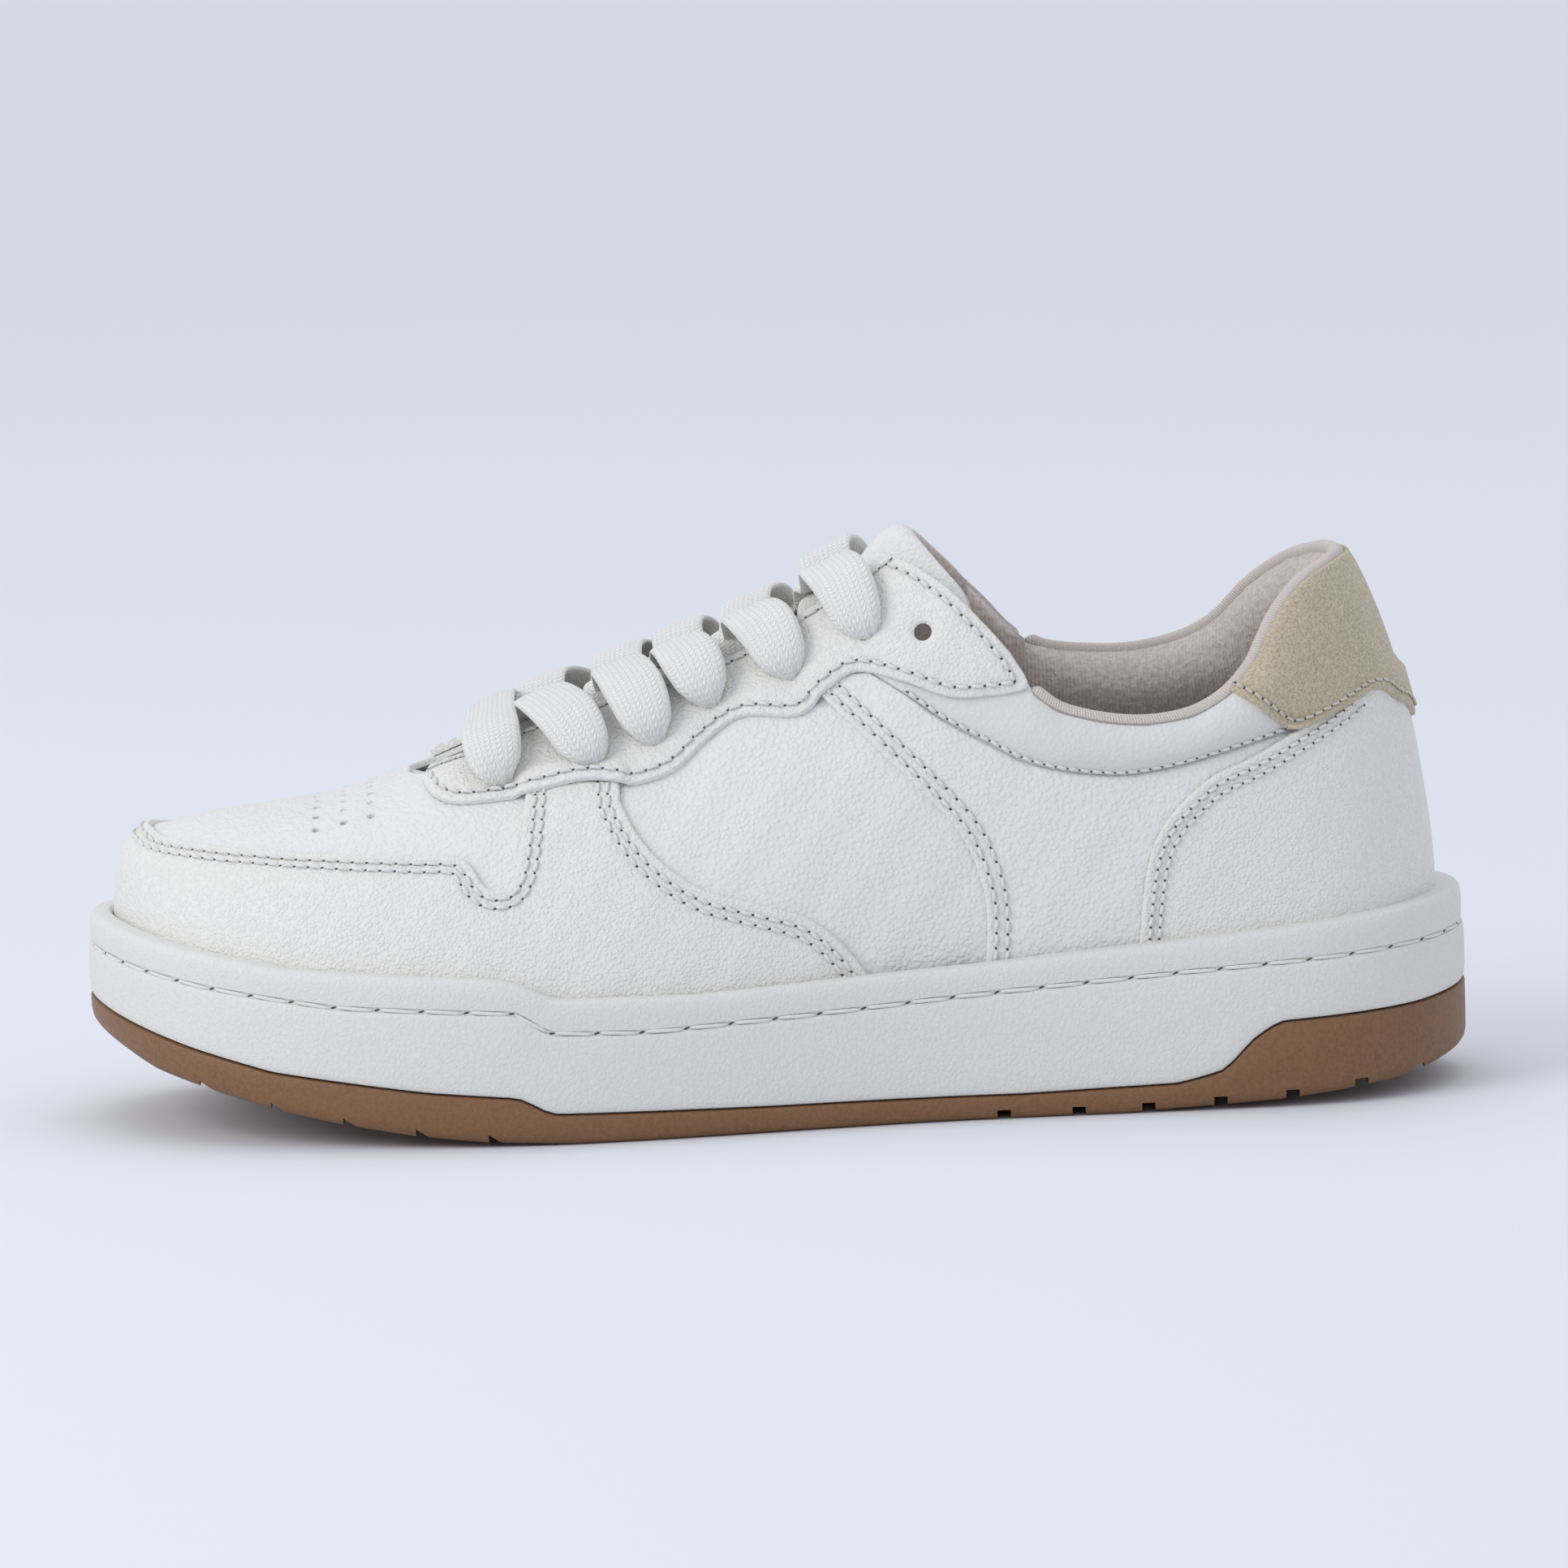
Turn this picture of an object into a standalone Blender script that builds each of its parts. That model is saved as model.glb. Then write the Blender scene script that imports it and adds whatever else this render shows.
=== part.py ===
"""Low court shoe for racket sports, left foot, about 270 mm long.

+X points to the heel, -X to the toe, -Y to the outer (lateral) side, +Z up.
The sole stands on Z = 0. Lengths below are millimetres unless a name says otherwise.
"""
import math

import bmesh
import bpy
import numpy as np
from mathutils import Vector

MM = 0.001

# ---------------------------------------------------------------- driving dimensions
GAP = 0.3                  # clearance between neighbouring pieces
LEATHER = 1.3              # thickness of one leather panel
RIM_WALL = 3.6             # how far the cupsole wall reaches inwards at its rim
LINING = 1.0
STIFFENER = 0.7
COLLAR_PAD = 5.5           # foam depth round the ankle
BINDING_RADIUS = 1.6
TONGUE_FOAM = 4.5
LACE_WIDTH = 10.0
LACE_THICK = 1.3
EYELET_RADIUS = 2.6
FOAM_INSET = 4.4           # midsole foam, in from the sole outline
FEATHER_RISE = 1.2         # lower edge of the upper, above the foam's edge
BOARD = 1.5
SOCKLINER = 4.5
GROOVE_DEPTH = 1.8
EDGE_DROP = 2.2            # leather edges stay this far under the binding's centre
BOARD_INSET = 11.8
THROAT_HALF_WIDTHS = (11.0, 14.0)   # opening between the eyestays, at its front and its back
LINING_STOPS_SHORT = 14.0  # the lining ends this far outside the throat, under the eyestay
CROSSING_HALF = 8.5        # the lace passes over or under the edge by this distance from the middle
LACE_SHAPES = {"hole": (1.35, 1.35), "mid": (2.2, 1.1), "tail": (1.5, 1.3),
               "flat": (0.5 * LACE_WIDTH, 0.5 * LACE_THICK)}
LACE_UNDER = -3.2          # lace under the eyestay, from the last surface
LACE_OVER = 4.8            # lace on the eyestay
TAIL_DEEPER = 2.6          # the tucked ends lie a little further in
TAIL_RUN = (1.1, 0.2)      # stations back and rows down from the last eyelet to the lace's end
TAIL_SHARES = (0.2, 0.45, 0.7)
AGLET_SHARES = (0.72, 0.92)
AGLET_RADIUS = 1.3
LACE_HIGH = 1.4
LACE_LOW = -0.9
TONGUE_HINGE_XZ = (-58.0, 60.5)
SOCKLINER_HINGE_XZ = (-122.6, 27.2)

# Layers of the upper as (inner, outer) distances from the last surface.
LAYER_A = (-LEATHER, 0.0)
LAYER_B = (GAP, GAP + LEATHER)
LAYER_C = (LAYER_B[1] + GAP, LAYER_B[1] + GAP + LEATHER)
LAYER_D = (LAYER_C[1] + GAP, LAYER_C[1] + GAP + LEATHER)
LAYER_STIFF = (-LEATHER - GAP - STIFFENER, -LEATHER - GAP)
LAYER_LINING = (LAYER_STIFF[0] - GAP - LINING, LAYER_STIFF[0] - GAP)

# Sole outline in plan. Each side has stations 0 (back of the heel) to 11 (tip of the toe).
LAST_STATION = 11
OUTLINE_LATERAL = [(135, 0), (128, -22), (108, -35.5), (75, -38.5), (35, -40.5), (0, -46),
                   (-40, -52), (-75, -50), (-103, -41), (-122, -27), (-132, -10), (-135, 6)]
OUTLINE_MEDIAL = [(135, 0), (128, 21), (108, 33.5), (75, 34), (35, 34), (0, 40),
                  (-40, 49.8), (-72, 51.9), (-100, 45.5), (-120, 34), (-131, 21), (-135, 6)]

# Ribs of the upper run from the sole to the top line as cubic Bezier curves.
FEATHER_INSET = [8, 8, 8, 8, 7.4, 6.6, 6.4, 6.4, 6.4, 6.6, 6.8, 6.8]
LOW_INSET = [7.4, 7.4, 7.6, 7.6, 6.4, 4, 3, 3.5, 4.5, 5.5, 6, 5.5]
LOW_HEIGHT = [52, 52, 50, 48, 50, 48, 42, 42, 44, 46, 47, 46]
HIGH_LATERAL = [(122.5, 0, 85), (119, -15, 85), (102, -27, 83), (74, -33.5, 80), (36, -32, 92),
                (-2, -26, 90), (-42, -26, 75), (-76, -30, 65.5), (-105, -25, 59.5),
                (-120, -15, 57.5), (-127, -5, 56.5), (-128.5, 4, 56.5)]
HIGH_MEDIAL = [(122.5, 0, 85), (119, 14.5, 86), (102, 26, 84), (74, 32, 82), (36, 31, 92),
               (-2, 27, 90), (-42, 27, 75), (-76, 31, 66), (-104, 27, 59.5),
               (-119, 19, 57.5), (-126, 12, 56.5), (-128.5, 4, 56.5)]
TOP = [(110, 0, 106.5), (107, -12, 106), (98, -21, 102), (73, -25, 101), (38, -17, 110),
       (0, -1, 96), (-42, 0, 81), (-74, 0, 66), (-97, 0, 61.5), (-110, 0, 59.8),
       (-116, 0, 58.8), (-118, 0, 58.4)]

# Heights along the shoe, as (x, z).
RIM = [(-135, 41), (-120, 38.4), (-95, 34.6), (-54, 32.3), (-49, 31), (-43, 28.1), (-14, 27.6),
       (40, 30.3), (99, 35.1), (135, 38)]
SIDE_GROOVE = [(-135, 35), (-111, 30.8), (-85, 27.6), (-50, 26), (-44, 21.8), (-24, 21.2), (12, 22.9),
               (78, 27.3), (135, 30.6)]
GUM_TOP = [(-135, 24.4), (-114, 18.4), (-98, 14.5), (-68, 10.7), (-50, 9.2), (-44, 5.9), (0, 5),
           (47, 4.6), (77, 5.4), (86, 7.6), (92, 13.8), (97, 16.7), (125, 17.9), (135, 18.9)]
TREAD = [(-135, 19), (-121, 13.2), (-99, 7.4), (-85, 4.6), (-71, 2.4), (-57, 0.9), (-40, 0), (66, 0),
         (98, 1.5), (123, 3.8), (135, 6.5)]
BED_DEPTH = [(-135, 11), (-40, 12.5), (30, 15), (80, 19), (135, 19)]

# Side-view outlines of the upper panels, as (x, z).
LOW_Z = -20.0
HIGH_Z = 140.0
TOPLINE_LATERAL = [(51, 82.5), (56, 78.6), (64, 76.2), (73, 75.3), (82, 76.6), (89, 80.4), (94, 86),
                   (98, 93.5), (104, 100.2), (112, 103.4)]
TOPLINE_MEDIAL = [(51.5, 84.8), (56, 83), (64, 82), (73, 82), (83, 84.3), (90, 88.5), (95.5, 94.5),
                  (104, 100.6), (112, 103.4)]
EYESTAY_LOWER = [(-68, 70), (-67.5, 66), (-65, 63.8), (-60, 62.8), (-49, 63.9), (-35, 66.2),
                 (-26, 66), (-18, 68.6), (-12, 73.6), (-5, 77.8), (6, 78), (12, 82.3),
                 (18, 85.7), (27, 83.9), (36, 81), (46, 81.4)]
EYESTAY_CORNER = {"lateral": (50.5, 83), "medial": (50.5, 85.4)}
EYESTAY_UPPER = [(47.5, 89), (43, 94.2), (36.5, 100.6), (30, 104.6), (23, 106),
                 (17, 104.4)]
COLLAR_STITCH = [(20, 86), (27, 81.6), (34, 76.7), (42, 72.4), (49, 68.6), (57, 66.4), (68, 65.2),
                 (79, 66.6), (91, 69.6), (104, 73)]
REAR_QUARTER_FRONT = [(8, 84), (16, 76.4), (26, 66.6), (36, 55.5), (40, 46), (41, 38), (40, 24)]
HEEL_OVERLAY_FRONT = [(118, 79.4), (103, 73), (93, 67.7), (85, 64.3), (77, 57.2), (73, 50),
                      (71, 39.4), (69, 20)]
HEEL_TAB_LOWER = [(89, 80.6), (94, 76.9), (99, 72.9), (103, 72.6), (110, 75.4), (116, 78),
                  (120, 74.6), (126, 70.4), (140, 69.5)]
TOE_OVERLAY_TOP = [(-124, 60), (-122, 57.6), (-117, 55.8), (-99, 54.6), (-71, 53.9), (-62, 53.8),
                   (-58.5, 52.4), (-55.5, 48.4), (-52.5, 47.6), (-50.4, 49), (-48.8, 54),
                   (-47, 66)]
TOE_OVERLAY_REAR = [(-29, 68), (-29, 63), (-26, 57.3), (-21, 51.6), (-13, 46.4), (-2, 43.1),
                    (7, 40), (14, 33.7), (19, 26), (21, 10)]
VAMP_REAR = [(-40, 90), (-40, 50), (-30, 8)]
EYELETS = [(-52, 66.3), (-34, 69.6), (-22, 73.9), (-11, 80.4), (5, 85.6), (20, 92.6), (31, 93)]
TONGUE = [(-62, 62.5, 16, 4), (-48, 70, 18, 8), (-34, 75, 19, 12), (-17, 80.5, 19, 13),
          (0, 85.5, 18, 14.5), (11, 91, 17, 15), (20, 98.5, 17, 15), (26, 106, 17, 14), (31, 112.4, 15, 8)]
TOE_GROOVES = [-111.0, -97.0, -83.0, -69.0, -55.0]
HEEL_GROOVES = [43.0, 57.5, 71.0, 85.0, 99.0, 112.5, 124.0]
THREADED = 6               # the seventh pair of eyelets stays open

# The shell grids: one station every half step, and nine points from sole to top line.
STATION_STEP = 0.5
MIDDLE_OF_SIDE = (5.0, 0.75)   # ring and row where a search on the side starts
SEARCH_STEPS = 40
ROWS = np.linspace(0.0, 1.0, 9)

COLOURS = {
    "white_leather": ((0.78, 0.78, 0.79), 0.55),
    "warm_leather": ((0.77, 0.765, 0.75), 0.5),
    "suede": ((0.40, 0.34, 0.26), 0.95),
    "knit": ((0.55, 0.50, 0.46), 0.95),
    "gum": ((0.20, 0.105, 0.055), 0.6),
    "white_rubber": ((0.66, 0.66, 0.655), 0.6),
    "foam": ((0.72, 0.70, 0.62), 0.9),
    "board": ((0.50, 0.42, 0.30), 0.85),
    "cotton": ((0.80, 0.79, 0.77), 0.9),
    "clear_tip": ((0.75, 0.75, 0.74), 0.25),
}


# ---------------------------------------------------------------- scene helpers
def clear_scene():
    for item in list(bpy.data.objects):
        bpy.data.objects.remove(item, do_unlink=True)


def new_collection(name):
    group = bpy.data.collections.new(name)
    bpy.context.scene.collection.children.link(group)
    return group


def material(finish, name):
    colour, roughness = COLOURS[finish]
    made = bpy.data.materials.new(name)
    made.use_nodes = True
    shader = made.node_tree.nodes["Principled BSDF"]
    shader.inputs["Base Color"].default_value = (*colour, 1.0)
    shader.inputs["Roughness"].default_value = roughness
    shader.inputs["Metallic"].default_value = 0.0
    made.diffuse_color = (*colour, 1.0)
    return made


def add_mesh(name, points, faces, group, finish=None):
    """A mesh object from millimetre points, welded, with its faces pointing out."""
    mesh = bpy.data.meshes.new(name)
    work = bmesh.new()
    verts = [work.verts.new((p[0] * MM, p[1] * MM, p[2] * MM)) for p in points]
    for face in faces:
        work.faces.new([verts[i] for i in face])
    bmesh.ops.remove_doubles(work, verts=work.verts, dist=0.00001)
    bmesh.ops.dissolve_degenerate(work, edges=work.edges, dist=0.00001)
    bmesh.ops.recalc_face_normals(work, faces=work.faces)
    work.to_mesh(mesh)
    work.free()
    made = bpy.data.objects.new(name, mesh)
    group.objects.link(made)
    if finish:
        mesh.materials.append(material(finish, name))
        mesh.shade_smooth()
        mesh.set_sharp_from_angle(angle=math.radians(40))
    return made


def plate(name, outline, low, high, plane):
    """A flat outline (2D curve, filled) as a prism: plane XZ runs along Y, plane XY along Z."""
    data = bpy.data.curves.new(name, "CURVE")
    data.dimensions = "2D"
    data.fill_mode = "BOTH"
    data.extrude = 0.5 * (high - low) * MM
    line = data.splines.new("POLY")
    line.points.add(len(outline) - 1)
    line.use_cyclic_u = True
    for point, (a, b) in zip(line.points, outline):
        point.co = (a * MM, b * MM, 0.0, 1.0)
    curve = bpy.data.objects.new(name + "_curve", data)
    bpy.context.scene.collection.objects.link(curve)
    middle = 0.5 * (low + high) * MM
    if plane == "XZ":
        curve.rotation_euler = (math.radians(90), 0.0, 0.0)
        curve.location = (0.0, middle, 0.0)
    else:
        curve.location = (0.0, 0.0, middle)
    bpy.context.view_layer.update()
    seen = curve.evaluated_get(bpy.context.evaluated_depsgraph_get())
    mesh = bpy.data.meshes.new_from_object(seen)
    work = bmesh.new()
    work.from_mesh(mesh)
    bmesh.ops.remove_doubles(work, verts=work.verts, dist=0.000001)
    bmesh.ops.recalc_face_normals(work, faces=work.faces)
    work.to_mesh(mesh)
    work.free()
    made = bpy.data.objects.new(name, mesh)
    made.matrix_world = curve.matrix_world.copy()
    bpy.data.objects.remove(curve, do_unlink=True)
    CUTTERS.objects.link(made)
    made.hide_render = True
    made.display_type = "WIRE"
    return made


def cut(target, cutter, operation):
    boolean = target.modifiers.new(operation.lower() + "_" + cutter.name, "BOOLEAN")
    boolean.operation = operation
    boolean.solver = "EXACT"
    boolean.object = cutter


# ---------------------------------------------------------------- curves and surfaces
def smooth(points, per_span=3):
    """Catmull-Rom curve through an open list of points."""
    pts = np.array(points, float)
    ends = np.vstack([2 * pts[0] - pts[1], pts, 2 * pts[-1] - pts[-2]])
    out = []
    for i in range(len(pts) - 1):
        a, b, c, d = ends[i:i + 4]
        for t in np.arange(per_span) / per_span:
            out.append(0.5 * (2 * b + (c - a) * t + (2 * a - 5 * b + 4 * c - d) * t ** 2
                              + (3 * b - a - 3 * c + d) * t ** 3))
    out.append(pts[-1])
    return [tuple(p) for p in out]


def ring_of(lateral, medial):
    """Key values once round the shoe: lateral stations 0 to 11, then medial 10 to 1."""
    return np.array(list(lateral) + list(medial[-2:0:-1]), float)


class RingSpline:
    """Closed cubic spline over evenly spaced keys."""

    def __init__(self, values):
        self.values = np.array(values, float)
        self.count = len(self.values)
        eye = np.eye(self.count)
        system = 4 * eye + np.roll(eye, 1, 0) + np.roll(eye, -1, 0)
        rise = 3 * (np.roll(self.values, -1, 0) - np.roll(self.values, 1, 0))
        self.slopes = np.linalg.solve(system, rise)

    def __call__(self, ring):
        ring = ring % self.count
        i = int(ring) % self.count
        j = (i + 1) % self.count
        t = ring - int(ring)
        a, b = self.values[i], self.values[j]
        u, w = self.slopes[i], self.slopes[j]
        return (a + u * t + (3 * (b - a) - 2 * u - w) * t ** 2
                + (2 * (a - b) + u + w) * t ** 3)


OUTLINE = RingSpline(ring_of(OUTLINE_LATERAL, OUTLINE_MEDIAL))
LOW_KEYS = list(zip(FEATHER_INSET, LOW_INSET, LOW_HEIGHT))
LOW = RingSpline(ring_of(LOW_KEYS, LOW_KEYS))
HIGH = RingSpline(ring_of(HIGH_LATERAL, HIGH_MEDIAL))
TOP_RING = RingSpline(ring_of(TOP, [(x, -y, z) for x, y, z in TOP]))


def along(table, x):
    """Height at x from a table of (x, z)."""
    return float(np.interp(x, [k[0] for k in table], [k[1] for k in table]))


def inset(ring, distance):
    """Point in plan, a distance in from the sole outline."""
    ahead = OUTLINE(ring + 0.02)
    behind = OUTLINE(ring - 0.02)
    x, y = OUTLINE(ring)
    dx, dy = ahead - behind
    length = math.hypot(dx, dy)
    return x + dy / length * distance, y - dx / length * distance


def bed_height(x):
    """Top of the midsole foam."""
    return along(TREAD, x) + along(BED_DEPTH, x)


def top_point(ring):
    x, y, z = TOP_RING(ring)
    lateral = ring % (2 * LAST_STATION) <= LAST_STATION
    return np.array([x, min(y, 0.0) if lateral else max(y, 0.0), z])


def last_surface(ring, row):
    """Outer face of the base leather: ring position, and row 0 (sole) to 1 (top)."""
    feather_in, low_in, low_z = LOW(ring)
    bx, by = inset(ring, feather_in)
    base = np.array([bx, by, bed_height(inset(ring, FOAM_INSET)[0]) + FEATHER_RISE])
    lx, ly = inset(ring, low_in)
    low = np.array([lx, ly, low_z])
    high = HIGH(ring)
    top = top_point(ring)
    t = row
    return ((1 - t) ** 3 * base + 3 * t * (1 - t) ** 2 * low
            + 3 * t * t * (1 - t) * high + t ** 3 * top)


def ridge_normal(ring):
    """Normal on the centre line, in the plane Y = 0."""
    station = min(ring % (2 * LAST_STATION), 2 * LAST_STATION - ring % (2 * LAST_STATION))
    run = top_point(station - 0.3) - top_point(min(station + 0.3, LAST_STATION))
    return np.array([-run[2], 0.0, run[0]]) / math.hypot(run[0], run[2])


def last_normal(ring, row):
    if row > 0.999 and top_point(ring)[0] < 20 and abs(top_point(ring)[1]) < 0.01:
        return ridge_normal(ring)
    across = last_surface(ring + 0.05, row) - last_surface(ring - 0.05, row)
    up = last_surface(ring, min(row + 0.03, 1.0)) - last_surface(ring, max(row - 0.03, 0.0))
    normal = np.cross(up, across)
    return normal / np.linalg.norm(normal)


def offset_point(ring, row, distance):
    return last_surface(ring, row) + last_normal(ring, row) * distance


def find_on_side(x, z, start):
    """Ring and row of the surface point seen at (x, z) from the side, by Newton steps."""
    ring, row = start
    for _ in range(SEARCH_STEPS):
        point = last_surface(ring, row)
        gap_x, gap_z = x - point[0], z - point[2]
        d_ring = (last_surface(ring + 0.02, row) - point) / 0.02
        d_row = (last_surface(ring, row + 0.01) - point) / 0.01
        det = d_ring[0] * d_row[2] - d_row[0] * d_ring[2]
        if abs(det) < 1e-6:
            break
        ring += 0.5 * (gap_x * d_row[2] - d_row[0] * gap_z) / det
        row += 0.5 * (d_ring[0] * gap_z - gap_x * d_ring[2]) / det
        row = min(max(row, 0.3), 0.99)
    return ring, row


def pad_depth(x, z):
    """Extra depth of the collar padding, round the ankle only."""
    ankle = min(max((x - 40) / 22, 0.0), 1.0)
    line = along(COLLAR_STITCH, x) - 2
    height = min(max((z - line) / 13, 0.0), 1.0)
    return COLLAR_PAD * ankle * height * (2 - height)


# ---------------------------------------------------------------- shells of the upper
def open_grid(rows_of_points):
    """Points and triangles of a rectangular grid, split the same way on every layer."""
    width = len(rows_of_points[0])
    points = [p for row in rows_of_points for p in row]
    faces = []
    for i in range(len(rows_of_points) - 1):
        for j in range(width - 1):
            a = i * width + j
            faces.append((a, a + 1, a + 1 + width))
            faces.append((a, a + 1 + width, a + width))
    return points, faces


def wall_lines(first, last, distance, rows=ROWS):
    """Ribs from ring position first to last; distance is a number or a function of x and z."""
    lines = []
    for ring in np.arange(first, last + 0.01, STATION_STEP):
        line = []
        for row in rows:
            x, _, z = last_surface(ring, row)
            depth = distance(x, z) if callable(distance) else distance
            line.append(offset_point(ring, row, depth))
        lines.append(line)
    return lines


def hoop_lines(first, distance):
    """Hoops over the forefoot, from station first to the tip of the toe."""
    lines = []
    for station in np.arange(first, LAST_STATION + 0.01, STATION_STEP):
        lateral = [offset_point(station, row, distance) for row in ROWS]
        medial = [offset_point(2 * LAST_STATION - station, row, distance) for row in ROWS]
        medial[-1] = lateral[-1]
        if station > LAST_STATION - 0.01:
            medial = lateral
        lines.append(lateral + medial[-2::-1])
    return lines


def thicken(target, thickness):
    """Solidify outwards: the grid is the inner face."""
    solid = target.modifiers.new("thickness", "SOLIDIFY")
    solid.thickness = thickness * MM
    solid.offset = 1.0
    solid.use_even_offset = False


def outward(target):
    """Turn an open shell so that its normals leave the foot."""
    mesh = target.data
    middle = np.array([0.0, 0.0, 0.045])
    vote = 0.0
    for face in mesh.polygons:
        centre = np.array(face.center)
        guide = centre - middle
        guide[0] = max(abs(centre[0]) - 0.09, 0.0) * math.copysign(1.0, centre[0])
        vote += face.area * float(np.dot(guide, np.array(face.normal)))
    if vote < 0:
        mesh.flip_normals()


def shell(name, lines, layer, finish):
    points, faces = open_grid(lines)
    made = add_mesh(name, points, faces, SHOE, finish)
    outward(made)
    thicken(made, layer[1] - layer[0])
    return made


def side_span(side):
    """Y range of a cutter that keeps one side of the shoe, or both."""
    return {"lateral": (-90.0, -0.2), "medial": (0.2, 90.0), "both": (-90.0, 90.0)}[side]


def side_rings(side, first, last):
    """Ring range on one side, from station first to station last."""
    if side == "lateral":
        return first, last
    return 2 * LAST_STATION - last, 2 * LAST_STATION - first


def trim(target, outline, side, label):
    low, high = side_span(side)
    cut(target, plate("cut_" + label, outline, low, high, "XZ"), "INTERSECT")


def topline(side, drop):
    table = TOPLINE_LATERAL if side == "lateral" else TOPLINE_MEDIAL
    return [(x, z - drop) for x, z in smooth(table, 2)]


def cut_throat(target, wider=0.0):
    """Open the throat between the eyestays, seen from above."""
    low, high = THROAT_HALF_WIDTHS[0] + wider, THROAT_HALF_WIDTHS[1] + wider
    outline = [(-66, -low), (60, -high), (60, high), (-66, low)]
    nose = [(-69, 0.75 * low), (-70.6, 0.35 * low), (-70.6, -0.35 * low), (-69, -0.75 * low)]
    cut(target, plate("throat_" + target.name, outline + nose, 30, 140, "XY"), "DIFFERENCE")


def eyelet_places(side):
    """Ring and row of each eyelet, found from its side-view place."""
    places = [find_on_side(x, z, MIDDLE_OF_SIDE) for x, z in EYELETS]
    if side == "lateral":
        return places
    return [(2 * LAST_STATION - ring, row) for ring, row in places]


def eyelet_cutters(side):
    """One closed cylinder through the eyestay at each eyelet."""
    cutters = []
    for index, (ring, row) in enumerate(eyelet_places(side)):
        centre = offset_point(ring, row, 0.0)
        normal = last_normal(ring, row)
        work = bmesh.new()
        bmesh.ops.create_cone(work, cap_ends=True, segments=8, radius1=EYELET_RADIUS * MM,
                              radius2=EYELET_RADIUS * MM, depth=16 * MM)
        mesh = bpy.data.meshes.new("eyelet")
        work.to_mesh(mesh)
        work.free()
        made = bpy.data.objects.new(f"eyelet_{side}_{index}", mesh)
        made.rotation_mode = "QUATERNION"
        made.rotation_quaternion = Vector((0, 0, 1)).rotation_difference(Vector(normal))
        made.location = tuple(centre * MM)
        CUTTERS.objects.link(made)
        made.hide_render = True
        made.display_type = "WIRE"
        cutters.append(made)
    return cutters


def cut_eyelets(target, side):
    for cutter in EYELET_CUTTERS[side]:
        cut(target, cutter, "DIFFERENCE")


def upper_line(side, drop):
    """Top edge of the leather in side view, from the eyestay corner round to behind the heel."""
    table = TOPLINE_LATERAL if side == "lateral" else TOPLINE_MEDIAL
    line = np.array(smooth(EYESTAY_UPPER[::-1], 2) + smooth(table, 2) + [(150, table[-1][1])])
    run = np.gradient(line, axis=0)
    run /= np.linalg.norm(run, axis=1)[:, None]
    return [(x + dz * drop, z - dx * drop) for (x, z), (dx, dz) in zip(line, run)]


def cut_above(target, side, drop):
    """Remove what stands above the eyestay corner and the collar line, on one side."""
    outline = [(14, HIGH_Z)] + upper_line(side, drop) + [(150, HIGH_Z)]
    low, high = (-90.0, 0.5) if side == "lateral" else (-0.5, 90.0)
    cut(target, plate(f"above_{side}_{target.name}", outline, low, high, "XZ"), "DIFFERENCE")


# ---------------------------------------------------------------- pieces of the upper
def make_forefoot():
    vamp = shell("vamp", hoop_lines(5.0, LAYER_A[0]), LAYER_A, "white_leather")
    front = [(-150, LOW_Z), (-150, HIGH_Z), (-40, HIGH_Z)] + VAMP_REAR + [(-30, LOW_Z)]
    trim(vamp, front, "both", "vamp")
    cut_throat(vamp)
    for side in ("lateral", "medial"):
        cut_eyelets(vamp, side)
    puff = shell("toe_puff", hoop_lines(7.0, LAYER_STIFF[0]), LAYER_STIFF, "board")
    trim(puff, [(-150, LOW_Z), (-150, HIGH_Z), (-96, HIGH_Z), (-88, LOW_Z)], "both", "toe_puff")
    overlay = shell("toe_overlay", hoop_lines(3.5, LAYER_B[0]), LAYER_B, "warm_leather")
    edge = TOE_OVERLAY_TOP + [(-40, 68.5)] + TOE_OVERLAY_REAR
    trim(overlay, [(-150, LOW_Z), (-150, 60)] + edge + [(21, LOW_Z)], "both", "toe_overlay")
    lining = shell("vamp_lining", hoop_lines(4.5, LAYER_LINING[0]), LAYER_LINING, "knit")
    trim(lining, [(-150, LOW_Z), (-150, HIGH_Z), (-2, HIGH_Z), (-2, LOW_Z)], "both", "vamp_lining")
    cut_throat(lining, LINING_STOPS_SHORT)


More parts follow.
